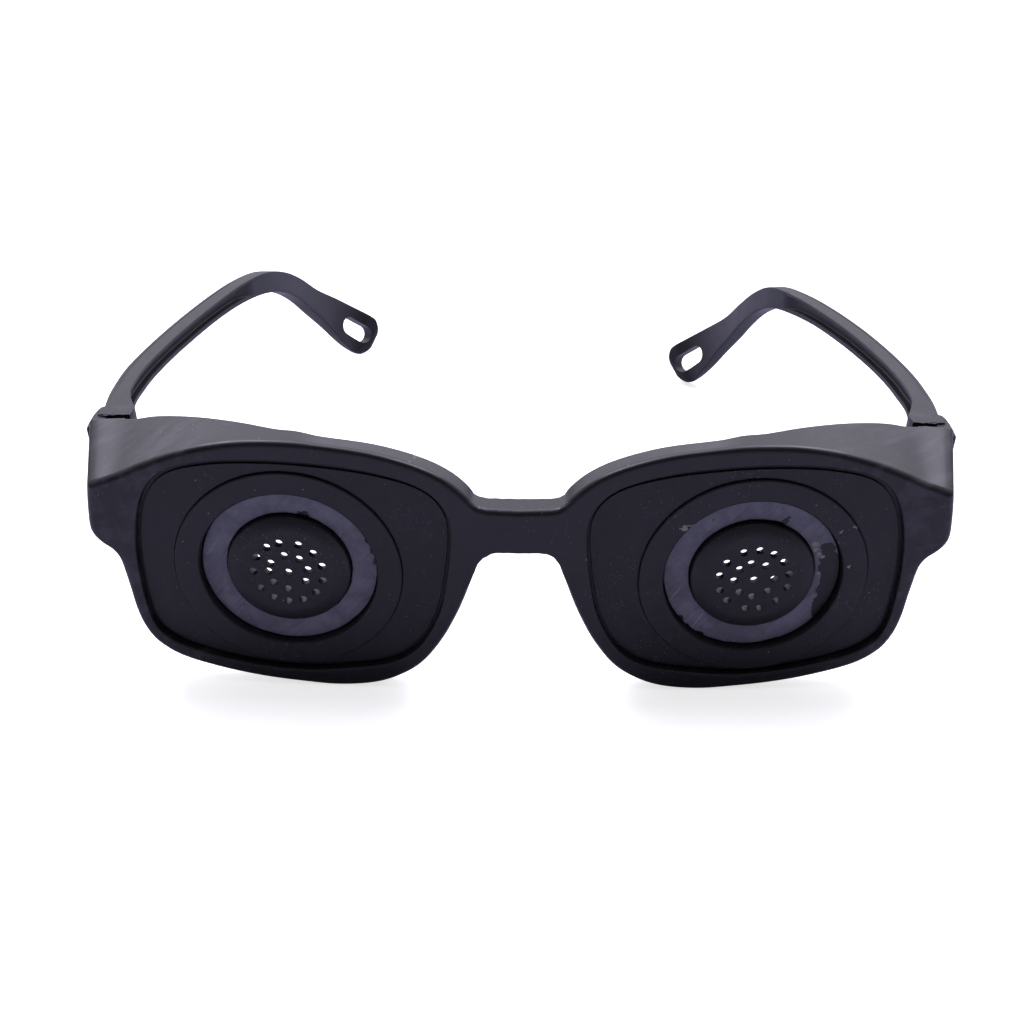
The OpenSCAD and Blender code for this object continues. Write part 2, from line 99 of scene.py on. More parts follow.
class CupSizes(bpy.types.PropertyGroup):
    hole_d: number("Pinhole", "Diameter of a pinhole, mm", 1.36)
    outer_ring: number("Outer ring", "Radius of the outer pinholes, mm", 5.97)
    inner_ring: number("Inner ring", "Radius of the inner pinholes, mm", 3.4)
    hub_r: number("Hub", "Radius of the raised middle, mm", 10.5)
    flange_r: number("Flange radius", "Outer radius of the flange, mm", 19.4)
    flange_t: number("Flange", "Thickness of the flange, mm", 0.9)
    recess_d: number("Recess", "Diameter of the ring's recess, mm", 30.3)
    floor: number("Floor", "Depth of the recess behind the plate's face, mm", 2.3)
    wall: number("Wall", "Thickness of the recess's wall and floor, mm", 1.0)
    tube_r: number("Tube", "Outer radius of the tube behind, mm", 8.2)
    tube_bore: number("Tube bore", "Inner radius of the tube, mm", 6.8)
    tube_end: number("Tube end", "Depth of the tube's end behind the plate's face, mm", 6.3)
    magnet_od: number("Magnet outside", "Outer diameter, mm", 29.7)
    magnet_id: number("Magnet inside", "Inner diameter, mm", 21.4)
    magnet_t: number("Magnet thickness", "Thickness of the ring, mm", 1.5)


class TempleSizes(bpy.types.PropertyGroup):
    groove_d: number("Groove depth", "Depth of the inner groove, mm", 1.3)
    groove_lip: number("Groove lip", "Lip above the groove, mm", 0.6)
    groove_foot: number("Groove foot", "Lip below the groove, mm", 1.0)
    eyelet_l: number("Eyelet length", "Length of the tip's slot, mm", 8.8)
    eyelet_w: number("Eyelet width", "Width of the tip's slot, mm", 4.1)
    knuckle: number("Knuckle radius", "Radius of the hinge knuckles, mm", 1.9)


class Finish(bpy.types.PropertyGroup):
    black: tint("Black", "Moulded black plastic", (0.0125, 0.0122, 0.0155))
    ferrite: tint("Ferrite", "Grey of the magnet rings", (0.235, 0.23, 0.285))
    dust: tint("Dust", "Specks of dust", (0.30, 0.30, 0.32))
    glue: tint("Glue", "Flakes of dried glue", (0.46, 0.42, 0.34))
    steel: tint("Steel", "Hinge pins", (0.32, 0.32, 0.33))


class Studio(bpy.types.PropertyGroup):
    lens: number("Lens", "Focal length, mm", 55.22)
    distance: number("Distance", "Camera to the eye line, mm", 260)
    height: number("Elevation", "Camera elevation, degrees", 32.35)
    turn: number("Azimuth", "Camera azimuth, degrees", 0.65)
    roll: number("Roll", "Camera roll, degrees", 0.26)
    aim_x: number("Aim X", "Point looked at, mm", -1.174)
    aim_z: number("Aim Z", "Point looked at above the eye line, mm", 11.862)
    back_light: number("Back light", "Panel behind, W", 2.6)
    top_light: number("Top light", "Panel above, W", 4.2)
    strip_light: number("Strip light", "Strip over the camera, W", 0.3)
    side_light: number("Side light", "Small panel over each endpiece, W", 0.52)


# Outline of a rim's opening, as shares of half its width and height: x outwards, z up
LENS_SHAPE = [
    (1, 0.2), (0.94, 0.61), (0.8, 0.86), (0.54, 0.97), (0.18, 1), (-0.18, 0.98), (-0.52, 0.92),
    (-0.8, 0.81), (-0.95, 0.64), (-1, 0.39), (-0.96, -0.1), (-0.9, -0.42), (-0.78, -0.71),
    (-0.59, -0.89), (-0.29, -0.97), (0.03, -1), (0.39, -0.94), (0.74, -0.8), (0.93, -0.61),
    (0.99, -0.29)]

# The rim where it carries the brow shelf and the endpiece: x, z of its front edge in the lens plane, then
# its back edge and its inner back edge as X, Y, Z from the middle of the glasses
SHELF_ROWS = [
    ((-1.2, 25.6), (37.8, 2.75, 25.6), (37.8, 2.75, 23.6)),
    ((5.5, 25.45), (44.5, 4.9, 25.5), (44.3, 4.9, 23.1)),
    ((12, 24.4), (51, 8.0, 24.7), (50.6, 8.0, 22.3)),
    ((18, 22.55), (57, 10.9, 23.5), (56.4, 10.9, 21.1)),
    ((23, 20.4), (62, 12.9, 22.3), (61.2, 12.9, 19.9)),
    ((27, 18.4), (66.4, 14.0, 21.1), (64.9, 14.0, 18.9)),
    ((30.8, 16.75), (72.3, 14.6, 20.7), (65.5, 14.6, 18.2)),
    ((31.8, 16.2), (73.4, 14.63, 20.4), (65.6, 14.63, 17.6)),
    ((32.1, 15.5), (73.7, 14.63, 19.7), (65.7, 14.63, 17)),
    ((32.55, 11.5), (73.9, 14.63, 15), (65.7, 14.63, 14.6)),
    ((32.7, 8.1), (74, 14.63, 11), (65.7, 14.63, 12)),
    ((32.3, 6.5), (73.5, 14.63, 9.5), (65.7, 14.63, 11)),
    ((31.3, 5.2), (72.2, 14.63, 8.8), (65.7, 14.63, 10.4)),
    ((29.7, 3.8), (69.7, 14.63, 8.6), (66.2, 14.63, 10)),
    ((28.6, 1.9), (66.9, 14.6, 8.6), (65.9, 14.6, 9.8))]
# The rest of the rim: x, z of its front edge and how far its back edge falls below that
RIM_ROWS = [
    (28, -1, 0), (27.5, -4.2, 0), (26.9, -8.4, 0), (25.75, -12.3, 0), (23.7, -15.7, 0), (19.8, -18.5, 0),
    (13.1, -20.8, 0), (5.9, -22.4, 0), (-1.25, -23.3, 0), (-7.25, -23.7, 0), (-13.3, -23.1, 0),
    (-18, -21.4, 0), (-22.3, -18.3, 0), (-25.9, -13.2, 0), (-28.5, -7.8, 0), (-30.5, -2.4, 0),
    (-31.9, 2.6, 0), (-32.4, 8, 0), (-32.3, 12, 0), (-31.3, 14.9, 0), (-29.2, 17.4, 0), (-26, 20, 0.3),
    (-21.3, 22.25, 0.5), (-14.6, 24.15, 0.65), (-6.9, 25.25, 0.75)]
# How far out in the lens plane the rim's back meets the endpiece
ROOT_X = 27.1

# Stations of a temple: X, Y, Z of its middle, thickness, height and twist in degrees
TEMPLE_ROWS = [
    (70.69, 19.04, 14.1, 6, 10.2, 0), (70.69, 22.5, 14.1, 6, 9.8, 0), (71.4, 28.7, 16.2, 3.7, 4.8, 0),
    (70.6, 37.8, 16.1, 3.5, 4.2, 0), (68.6, 47.9, 15.7, 3.5, 3.9, 0), (65.1, 59.9, 15.1, 3.5, 3.9, 0),
    (60.9, 71.9, 14.1, 3.5, 3.9, 0), (57.2, 80.9, 12.8, 3.5, 4.2, 3), (54.2, 88.4, 10.7, 3.5, 4.5, 6),
    (52, 95.2, 6.3, 3.5, 4.5, 10), (50, 101.2, 0.6, 3.5, 4.9, 14), (47.8, 106.6, -5.7, 3.4, 5.8, 18),
    (44.9, 111.6, -11.5, 3.3, 7.6, 22), (41.3, 114.9, -16.6, 3.2, 9.2, 24),
    (38.1, 116.3, -19.7, 3.2, 9.4, 24), (36.4, 116.9, -21.4, 2.9, 6.6, 24)]
# How far the left temple stands further out, further back and higher at each station
LEFT_BEND = [
    (0, 0, 0), (0, 0, 0), (0.3, 0, 0), (0.7, 0, 0), (1, 0, 0), (1.55, 0, 0.1), (2, 0, 0.7), (2.2, 0.3, 1.4),
    (2, 1, 1.9), (1.6, 1.8, 2.9), (1.3, 2.4, 3.9), (0.9, 2.6, 4.6), (0.5, 2.8, 5), (0.3, 3, 5.2),
    (0, 3.2, 5.2), (-0.35, 3.3, 5.2)]
# The stations between which the groove runs, and the eyelet's station
GROOVE_SPAN = (2.05, 7.0)
EYELET_STATION = 13.27

# Pinholes of each cup: degrees round the outer and the inner ring, drilled unevenly by hand
PINHOLES = {
    "left": ((-146, -118, -93, -68, -41, -14, 14, 42, 70, 102, 124, 151, 180),
             (-142, -95, -32, 11, 54, 99, 149, 178)),
    "right": ((-160, -136, -100, -77, -46, -15, 11, 37, 60, 85, 111, 144, 171),
              (-133, -92, -42, 3, 58, 102, 140, 182))}

# Hinge: place of the pin as X, Y, then heights and thicknesses of its knuckles
HINGE = (69.69, 16.84)
HINGE_LOW = 9.6
EAR_T = 2.3
TONGUE_LOW = 12.05
TONGUE_T = 3.6
STACK_H = 8.5
# Cheek beside the knuckles: height and share of its swelling
CHEEK_ROWS = [(9.7, 0.1), (10.0, 0.2), (13.5, 0.35), (16.0, 0.9), (18.2, 1), (18.7, 0.7)]
CHEEK_OUT = 1.1

# Moulding flash: start, end, direction, sideways sway, depth, half its thickness and its seed
FRONT_FLASH = [
    ((73.65, 14.5, 19.6), (73.9, 14.5, 12.0), (1, 0.25, 0), 0.12, 0.38, 0.16, 3),
    ((-73.65, 14.5, 19.4), (-73.85, 14.5, 13.5), (-1, 0.3, 0), 0.1, 0.25, 0.16, 8),
    ((67.5, 14.5, 20.75), (72.8, 14.5, 20.4), (0, 1, 0.2), 0.1, 0.2, 0.1, 5),
    ((-67.5, 14.5, 20.75), (-72.8, 14.5, 20.4), (0, 1, 0.2), 0.1, 0.18, 0.1, 6),
    ((-5.8, 1.0, 13.6), (5.8, 1.0, 13.6), (0, 0.4, 1), 0.05, 0.22, 0.1, 11)]
ARM_FLASH = [
    ((68.0, 19.15, 19.0), (73.3, 19.15, 18.9), (0, -1, 0.1), 0.2, 0.5, 0.1),
    ((70.2, 19.1, 18.2), (73.6, 19.1, 18.1), (0, -1, -0.3), 0.3, 0.9, 0.14)]
ARM_SEEDS = {"left": (31, 32), "right": (21, 22)}

# Raised field of a plate: its radius at the flange, the gap at the lip, what the gap grows by at the top and
# at which height, and the field's least width
LAND_R = 19.5
LAND_GAP = 0.5
LAND_TOP_GAP = 0.75
LAND_TOP = 21
LAND_LEAST = 0.12
# Gap between a cup's body and the plate's hole
SEAT_PLAY = 0.05

# Marks as radius, degrees from +X and size in mm round the middle of a cup: dried glue on the right cup,
# then the breaks in each ring and the glue on it
SMEARS = [(16.9, 143, 0.5), (15.9, 140, 0.6), (15.5, 136, 0.4), (16.8, 33, 0.5), (17.8, 32, 0.3),
          (19.0, 32, 0.4), (14.6, 7, 0.3), (16.1, 8, 0.3), (17.1, 57, 0.2)]
BITES = {
    "left": [(10.8, 74, 0.9), (14.9, 23, 0.7), (15.1, 14, 0.8), (15.1, 6, 0.7), (10.4, 186, 0.5)],
    "right": [(13.4, 21, 1.25), (13.3, 12, 1.7), (13.3, 4, 1.9), (13.5, -3, 1.7), (12.0, 4, 1.0),
              (14.1, -8, 2.1), (14.1, -16, 2.2), (14.5, -24, 2.0), (14.8, -31, 1.9), (15.0, -35, 1.2),
              (10.3, 68, 0.6), (11.0, 66, 0.5), (11.7, 65, 0.4), (12.3, 64, 0.35), (10.0, 58, 0.5),
              (10.0, 50, 0.45), (10.0, 43, 0.4), (15.1, -122, 0.5), (15.2, -134, 0.7), (15.2, -141, 0.8)]}
SHARDS = {
    "left": [(10.2, 77, 0.35)],
    "right": [(11.7, 29, 0.5), (11.4, 24, 0.45), (11.6, 19, 0.45), (12.2, 15, 0.4), (11.4, -1, 0.25)]}
CRUMBS = {"left": 0.05, "right": 0.2}

# Lamps: name, place and point lit in metres, width and depth, and the studio value that holds the power
LAMPS = [
    ("back_panel", (0, 0.62, 0.42), (0, 0, 0.03), (1.5, 0.7), "back_light"),
    ("top_panel", (0, 0.24, 0.76), (0, 0, 0.02), (1.0, 0.5), "top_light"),
    ("front_strip", (0, -0.22, 0.72), (0, 0, 0.02), (0.9, 0.09), "strip_light"),
    ("side_panel", (-0.19, 0.08, 0.38), (-0.072, -0.055, 0.045), (0.14, 0.24), "side_light"),
    ("side_panel", (0.19, 0.08, 0.38), (0.072, -0.055, 0.045), (0.14, 0.24), "side_light")]
LAMP_TINT = (0.85, 0.81, 1.0)


def catmull(points, steps, closed):
    """Smooth curve through rows of numbers, with a fixed number of steps between rows."""
    p = np.asarray(points, float)
    row = np.concatenate([p[-1:], p, p[:2]] if closed else [p[:1], p, p[-1:]])
    out = []
    for a, b, c, d in zip(row, row[1:], row[2:], row[3:]):
        for k in range(steps):
            t = k / steps
            out.append(0.5 * (2 * b + (c - a) * t + (2 * a - 5 * b + 4 * c - d) * t * t
                              + (3 * b - a - 3 * c + d) * t ** 3))
    if not closed:
        out.append(p[-1])
    return np.array(out)


def steady(points, steps):
    """Closed curve through rows of numbers that never swings past them."""
    p = np.asarray(points, float)
    step = np.roll(p, -1, 0) - p
    before = np.roll(step, 1, 0)
    together = step * before > 0
    slope = np.where(together, 2 * step * before / np.where(together, step + before, 1), 0)
    after = np.roll(slope, -1, 0)
    out = []
    for i in range(len(p)):
        for k in range(steps):
            t = k / steps
            out.append(p[i] + slope[i] * (t ** 3 - 2 * t * t + t) + step[i] * (3 * t * t - 2 * t ** 3)
                       + after[i] * (t ** 3 - t * t))
    return np.array(out)


def lens_outline(grow=0.0):
    """Closed outline of a rim's opening, grown by a margin."""
    sizes = bpy.context.scene.glasses_front
    half_w, half_h = sizes.lens_w / 2 + grow, sizes.lens_h / 2 + grow
    points = [(x * half_w - sizes.lens_shift, z * (half_h + math.copysign(sizes.lens_rise, z)))
              for x, z in LENS_SHAPE]
    return catmull(points, 12, True)


def reach(outline, centre, angles):
    """Points where rays from the centre meet a closed outline."""
    rel = outline - np.asarray(centre)
    turn = np.unwrap(np.arctan2(rel[:, 1], rel[:, 0]))
    if turn[-1] < turn[0]:
        rel, turn = rel[::-1], turn[::-1]
    size = np.hypot(rel[:, 0], rel[:, 1])
    full = 2 * math.pi
    at = (np.asarray(angles) - turn[0]) % full + turn[0]
    radius = np.interp(at, np.append(turn, turn[0] + full), np.append(size, size[0]))
    return np.stack([np.cos(angles) * radius, np.sin(angles) * radius], 1) + np.asarray(centre)


def on_front(points, depth):
    """Right lens plane to the glasses' own coordinates: X from the middle, Y back, Z from the eye line."""
    sizes = bpy.context.scene.glasses_front
    w = math.radians(sizes.wrap)
    x, z = points[:, 0], points[:, 1]
    y = np.broadcast_to(depth, x.shape)
    return np.stack([sizes.pupil_gap / 2 + x * math.cos(w) - y * math.sin(w),
                     x * math.sin(w) + y * math.cos(w), z], 1)


def in_frame(points):
    """The glasses' own coordinates, in mm, to the frame's, in metres."""
    return (np.asarray(points, float) + (0, -MID_Y, EYE_HEIGHT)) * MM


def cup_shift(side):
    """The right cup is glued in a little off the middle of its opening."""
    sizes = bpy.context.scene.glasses_front
    return (sizes.cup_out, -sizes.cup_drop) if side > 0 else (0.0, 0.0)


def lens_matrix(side):
    """Places a piece modelled in metres round the middle of a hole pattern."""
    sizes = bpy.context.scene.glasses_front
    spot = Matrix.Translation(in_frame((side * sizes.pupil_gap / 2, 0, 0)))
    x, z = cup_shift(side)
    return (spot @ Matrix.Rotation(side * math.radians(sizes.wrap), 4, "Z")
            @ Matrix.Translation((x * MM, 0, z * MM)))


def rounded(corners, radii, steps):
    """Rounds the corners of closed sections, one section per row: (rows, corners, 3) in, more points out."""
    corners = np.asarray(corners, float)
    radii = np.broadcast_to(np.asarray(radii, float), corners.shape[:2])
    back = np.roll(corners, 1, 1) - corners
    ahead = np.roll(corners, -1, 1) - corners
    back_l = np.linalg.norm(back, axis=2)
    ahead_l = np.linalg.norm(ahead, axis=2)
    cut = np.minimum(radii, 0.47 * np.minimum(back_l, ahead_l))
    start = corners + back * (cut / np.maximum(back_l, 1e-9))[..., None]
    end = corners + ahead * (cut / np.maximum(ahead_l, 1e-9))[..., None]
    points = []
    for k in range(steps + 1):
        t = k / steps
        points.append((1 - t) ** 2 * start + 2 * t * (1 - t) * corners + t * t * end)
    return np.stack(points, 2).reshape(corners.shape[0], -1, 3)


def deselect():
    """Leaves edit mode and clears the selection."""
    if bpy.context.object and bpy.context.object.mode != "OBJECT":
        bpy.ops.object.mode_set(mode="OBJECT")
    bpy.ops.object.select_all(action="DESELECT")


def pick(obj):
    deselect()
    obj.select_set(True)
    bpy.context.view_layer.objects.active = obj


def loft(name, rings, closed=False):
    """Extrudes a ring of vertices from section to section, in metres, then joins or fills its ends."""
    deselect()
    bpy.ops.mesh.primitive_circle_add(vertices=len(rings[0]), radius=MM, fill_type="NOTHING")
    obj = bpy.context.object
    obj.name = name
    bpy.ops.object.mode_set(mode="EDIT")
    mesh = bmesh.from_edit_mesh(obj.data)
    place = mesh.verts.layers.int.new("place")
    for i, vert in enumerate(mesh.verts):
        vert[place] = i
        vert.co = rings[0][i]
    for ring in list(rings[1:]) + ([rings[0]] if closed else []):
        bpy.ops.mesh.extrude_edges_move()
        mesh = bmesh.from_edit_mesh(obj.data)
        place = mesh.verts.layers.int["place"]
        for vert in mesh.verts:
            if vert.select:
                vert.co = ring[vert[place]]
    bmesh.update_edit_mesh(obj.data)
    bpy.ops.mesh.select_all(action="SELECT")
    if closed:
        bpy.ops.mesh.remove_doubles(threshold=1e-7)
    else:
        bpy.ops.mesh.fill_holes(sides=0)
    bpy.ops.mesh.select_all(action="SELECT")
    bpy.ops.mesh.normals_make_consistent(inside=False)
    bpy.ops.object.mode_set(mode="OBJECT")
    return obj


def hoop(name, section):
    """Closed ring through sections that each stand across it."""
    return loft(name, np.moveaxis(section, 1, 0), closed=True)


def slab(name, outline, low, high, edge=0.18):
    """Upright block with a rounded edge at its top and bottom. The outline is X, Y from the middle, in mm."""
    outline = np.asarray(outline, float)
    centre = outline.mean(0)
    rings = []
    for height, inset in ((low, edge), (low + 0.3 * edge, 0.3 * edge), (low + edge, 0),
                          (high - edge, 0), (high - 0.3 * edge, 0.3 * edge), (high, edge)):
        away = outline - centre
        size = np.linalg.norm(away, axis=1, keepdims=True)
        flat = centre + away * (1 - inset / size)
        rings.append(in_frame(np.column_stack([flat, np.full(len(flat), height)])))
    return loft(name, rings)


def shade(obj, degrees):
    """Smooth shading in which the large faces keep their own normals and only the roundings turn."""
    pick(obj)
    bpy.ops.object.shade_smooth_by_angle(angle=math.radians(degrees))
    apply(obj, "WEIGHTED_NORMAL", "weigh", mode="FACE_AREA", weight=80, keep_sharp=True)


def join(pieces, name):
    deselect()
    for piece in pieces:
        piece.select_set(True)
    bpy.context.view_layer.objects.active = pieces[0]
    bpy.ops.object.join()
    pieces[0].name = name
    return pieces[0]


def mirrored(obj, name):
    """Copy of a right-hand piece, mirrored in the middle plane of the glasses."""
    twin = obj.copy()
    twin.data = obj.data.copy()
    twin.name = name
    bpy.context.scene.collection.objects.link(twin)
    twin.data.transform(Matrix.Scale(-1, 4, (1, 0, 0)))
    pick(twin)
    bpy.ops.object.mode_set(mode="EDIT")
    bpy.ops.mesh.select_all(action="SELECT")
    bpy.ops.mesh.flip_normals()
    bpy.ops.object.mode_set(mode="OBJECT")
    return twin


def apply(obj, kind, name, **settings):
    """Adds a modifier with its settings and applies it at once."""
    pick(obj)
    modifier = obj.modifiers.new(name, kind)
    for key, value in settings.items():
        setattr(modifier, key, value)
    bpy.ops.object.modifier_apply(modifier=name)


def bevel_where(obj, chosen, width, segments):
    """Bevels those edges between two faces for which chosen(edge) holds, by a width in mm."""
    pick(obj)
    bpy.ops.object.mode_set(mode="EDIT")
    bpy.ops.mesh.select_mode(type="EDGE")
    bpy.ops.mesh.select_all(action="DESELECT")
    mesh = bmesh.from_edit_mesh(obj.data)
    for edge in mesh.edges:
        if len(edge.link_faces) == 2 and chosen(edge):
            edge.select = True
    bmesh.update_edit_mesh(obj.data)
    bpy.ops.mesh.bevel(offset=width * MM, segments=segments, affect="EDGES", clamp_overlap=True)
    bpy.ops.object.mode_set(mode="OBJECT")


def left_hand(obj):
    """Turns a right-hand piece into the left-hand one."""
    twin = mirrored(obj, obj.name + "_left")
    bpy.data.objects.remove(obj)
    return twin


def hand_over(obj, material, body, slot, *nodes):
    """Gives a finished piece its material and body, and hides the CAD nodes that it stands for."""
    obj.data.materials.clear()
    obj.data.materials.append(material)
    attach(obj, body)
    if nodes:
        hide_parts(*nodes)


class Wire:
    """A socket that adds Math nodes when it is used in an expression."""

    def __init__(self, paint, socket):
        self.paint = paint
        self.socket = socket

    def step(self, low, high):
        """0 below low, 1 above high, and smooth between."""
        return self.paint.node("ShaderNodeMapRange", {"interpolation_type": "SMOOTHSTEP"},
                               self, low, high, 0.0, 1.0)


def math_method(operation, swapped=False):
    """A method of Wire that adds one Math node."""
    def method(self, *others):
        values = (*others, self) if swapped else (self, *others)
        return self.paint.node("ShaderNodeMath", {"operation": operation}, *values)
    return method


for method_name, math_operation in (
        ("__add__", "ADD"), ("__radd__", "ADD"), ("__mul__", "MULTIPLY"), ("__rmul__", "MULTIPLY"),
        ("__sub__", "SUBTRACT"), ("above", "GREATER_THAN"), ("below", "LESS_THAN"),
        ("at_least", "MAXIMUM"), ("at_most", "MINIMUM"), ("size", "ABSOLUTE"), ("root", "SQRT")):
    setattr(Wire, method_name, math_method(math_operation))


class Paint:
    """Builds one material's nodes."""

    def __init__(self, name):
        self.material = bpy.data.materials.new(name)
        self.material.use_nodes = True
        self.tree = self.material.node_tree
        self.shader = self.tree.nodes["Principled BSDF"]
        self.spot = Wire(self, self.tree.nodes.new("ShaderNodeTexCoord").outputs["Object"])

    def node(self, kind, settings, *values, **named):
        made = self.tree.nodes.new(kind)
        for key, value in settings.items():
            setattr(made, key, value)
        for i, value in enumerate(values):
            self.feed(made.inputs[i], value)
        for key, value in named.items():
            self.feed(made.inputs[key.replace("_", " ")], value)
        return Wire(self, made.outputs[0])

    def feed(self, socket, value):
        if isinstance(value, Wire):
            self.tree.links.new(value.socket, socket)
        else:
            socket.default_value = value

    def put(self, **named):
        for key, value in named.items():
            self.feed(self.shader.inputs[key.replace("_", " ")], value)

    def split(self, vector):
        parts = self.tree.nodes.new("ShaderNodeSeparateXYZ")
        self.feed(parts.inputs[0], vector)
        return [Wire(self, socket) for socket in parts.outputs]

    def noise(self, scale, detail=4.0, rough=0.55, vector=None, warp=0.0):
        return self.node("ShaderNodeTexNoise", {"noise_dimensions": "3D"}, Vector=vector or self.spot,
                         Scale=scale, Detail=detail, Roughness=rough, Distortion=warp)

    def stretched(self, scale, turn=(0, 0, 0)):
        return self.node("ShaderNodeMapping", {}, Vector=self.spot, Scale=scale, Rotation=turn)

    def brushed(self, rates, turn):
        """Coordinates that draw a noise out into streaks: its rate along each axis, and their turn."""
        scale = [1 / rate for rate in rates]
        return self.node("ShaderNodeMapping", {"vector_type": "TEXTURE"}, Vector=self.spot,
                         Scale=scale, Rotation=turn)

    def blend(self, mask, low, high):
        made = self.tree.nodes.new("ShaderNodeMix")
        made.data_type = "RGBA"
        self.feed(made.inputs[0], mask)
        self.feed(made.inputs[6], low)
        self.feed(made.inputs[7], high)
        return Wire(self, made.outputs[2])

    def specks(self, scale, size, keep):
        """Small round dots, of which only a share is kept."""
        cells = self.tree.nodes.new("ShaderNodeTexVoronoi")
        self.feed(cells.inputs["Vector"], self.spot)
        self.feed(cells.inputs["Scale"], scale)
        near = Wire(self, cells.outputs["Distance"]).below(size)
        pick_out = self.split(Wire(self, cells.outputs["Color"]))[0].below(keep)
        return near * pick_out

    def hair(self, scale, width, keep, turn):
        """Fine scratches: the thin level lines of a stretched noise, kept only here and there."""
        lines = self.noise(1.0, 1.0, 0.4, self.stretched(scale, turn))
        patch = self.noise(210.0, 2.0, 0.5).above(keep)
        return (lines - 0.5).size().below(width) * patch

    def bump(self, height, strength, distance):
        return self.node("ShaderNodeBump", {}, Strength=strength, Distance=distance * MM, Height=height)


def rgba(colour, gain=1.0):
    return (colour[0] * gain, colour[1] * gain, colour[2] * gain, 1.0)


def patches(paint, centre, places, wobble):
    """Ragged spots, each at a radius and an angle round a point of the front."""
    x, _, z = paint.split(paint.spot)
    mask = None
    for radius, degrees, size in places:
        a = math.radians(degrees)
        dx = x - float(centre[0] + radius * math.cos(a) * MM)
        dz = z - float(centre[2] + radius * math.sin(a) * MM)
        spot = ((dx * dx + dz * dz).root() + wobble).below(size * MM)
        mask = spot if mask is None else mask.at_least(spot)
    return mask


def cup_middle(side):
    """The middle of a cup's face in the frame, in metres."""
    off_x, off_z = cup_shift(side)
    return in_frame((side * bpy.context.scene.glasses_front.pupil_gap / 2 + off_x, 0, off_z))


def moulded_black(name, rough=0.42, dusty=0.3, worn=0.5, rubbed=0.0, glue=()):
    """Satin moulded plastic: flow marks, haze, dust, fine scratches, rubbed ends and smears of glue."""
    finish = bpy.context.scene.glasses_finish
    paint = Paint(name)
    cloud = paint.noise(95.0, 5.0, 0.6)
    haze = paint.noise(420.0, 4.0, 0.62, warp=0.6)
    grain = paint.noise(5200.0, 3.0, 0.6)
    flow = paint.noise(1.0, 3.0, 0.5, paint.stretched((900, 120, 300), (0, 0, 0.6)))
    dust = paint.specks(620.0, 0.085, 0.10 * dusty) + paint.specks(1500.0, 0.12, 0.05 * dusty)
    drift = paint.noise(85.0, 2.0, 0.5).step(0.5, 0.62)
    dust = dust + paint.specks(2400.0, 0.2, 0.34 * dusty) * drift * 0.75
    scratch = paint.hair((520, 60, 260), 0.0035, 0.66, (0.3, 0.5, 0.9))
    mark = (dust.at_most(1.0) * 0.8 + scratch * 0.22 * worn).at_most(1.0)
    base = paint.blend(cloud.step(0.35, 0.7), rgba(finish.black, 0.85), rgba(finish.black, 1.2))
    rub = paint.noise(1.0, 4.0, 0.6, paint.brushed((60, 420, 300), (0, 0, 0.7))).step(0.44, 0.68)
    ends = paint.split(paint.spot)[0].size().step(0.045, 0.058)
    base = paint.blend(rub * ends * 0.6 * rubbed, base, rgba(finish.black, 4.5))
    base = paint.blend(mark, base, rgba(finish.dust))
    if glue:
        stringy = paint.hair((900, 200, 700), 0.07, 0.0, (0.2, 0.4, 0.7))
        wobble = (paint.noise(1500.0, 4.0, 0.7) - 0.5) * (1.6 * MM)
        smear = patches(paint, cup_middle(1), glue, wobble) * stringy
        base = paint.blend(smear, base, rgba(finish.glue, 0.7))
    paint.put(Base_Color=base)
    paint.put(Roughness=rough + (haze - 0.5) * 0.16 + (flow - 0.5) * 0.10 * worn + mark * 0.3)
    height = grain * 0.25 + haze * 0.5 + flow * 0.35 * worn + dust * 1.5
    paint.put(Normal=paint.bump(height, 0.35, 0.03), IOR=1.5, Specular_IOR_Level=0.5)
    return paint.material


def ring_ferrite(name, side, bites, shards, crumbs):
    """Matt grey ring, with black breaks and pale glue in it at the places where the real ring has them."""
    finish = bpy.context.scene.glasses_finish
    paint = Paint(name)
    centre = cup_middle(side)
    ragged = (paint.noise(700.0, 5.0, 0.7) - 0.5) * (2.0 * MM)
    fine = (paint.noise(2400.0, 3.0, 0.7) - 0.5) * (0.8 * MM)
    loss = patches(paint, centre, bites, ragged + fine)
    glue = patches(paint, centre, shards, (ragged + fine) * 0.7)
    crumb = paint.specks(900.0, 0.16, crumbs) * paint.noise(160.0, 3.0, 0.6).step(0.5, 0.62)
    loss = loss.at_least(crumb)
    tone = paint.noise(260.0, 5.0, 0.65)
    fleck = paint.noise(2600.0, 2.0, 0.6)
    streak = paint.noise(1.0, 4.0, 0.65, paint.brushed((1500, 300, 130), (0, 0.75, 0)))
    long = paint.noise(1.0, 2.0, 0.5, paint.brushed((2600, 300, 60), (0, 0.55, 0)))
    scratch = long.step(0.66, 0.72) * paint.noise(210.0, 2.0, 0.5).above(0.5)
    grey = paint.blend(tone.step(0.35, 0.68), rgba(finish.ferrite, 0.8), rgba(finish.ferrite, 1.12))
    grey = paint.blend(streak.step(0.52, 0.72) * 0.5, grey, rgba(finish.ferrite, 0.55))
    grey = paint.blend(scratch * 0.5, grey, rgba(finish.ferrite, 2.2))
    broken = paint.blend(loss, grey, rgba(finish.black, 0.8))
    paint.put(Base_Color=paint.blend(glue * (0.4 + fleck * 0.8), broken, rgba(finish.glue)))
    paint.put(Roughness=0.62 + (fleck - 0.5) * 0.2 - loss * 0.22)
    paint.put(Normal=paint.bump(fleck * 0.25 + tone * 0.6 - loss * 2.2, 0.5, 0.12))
    return paint.material


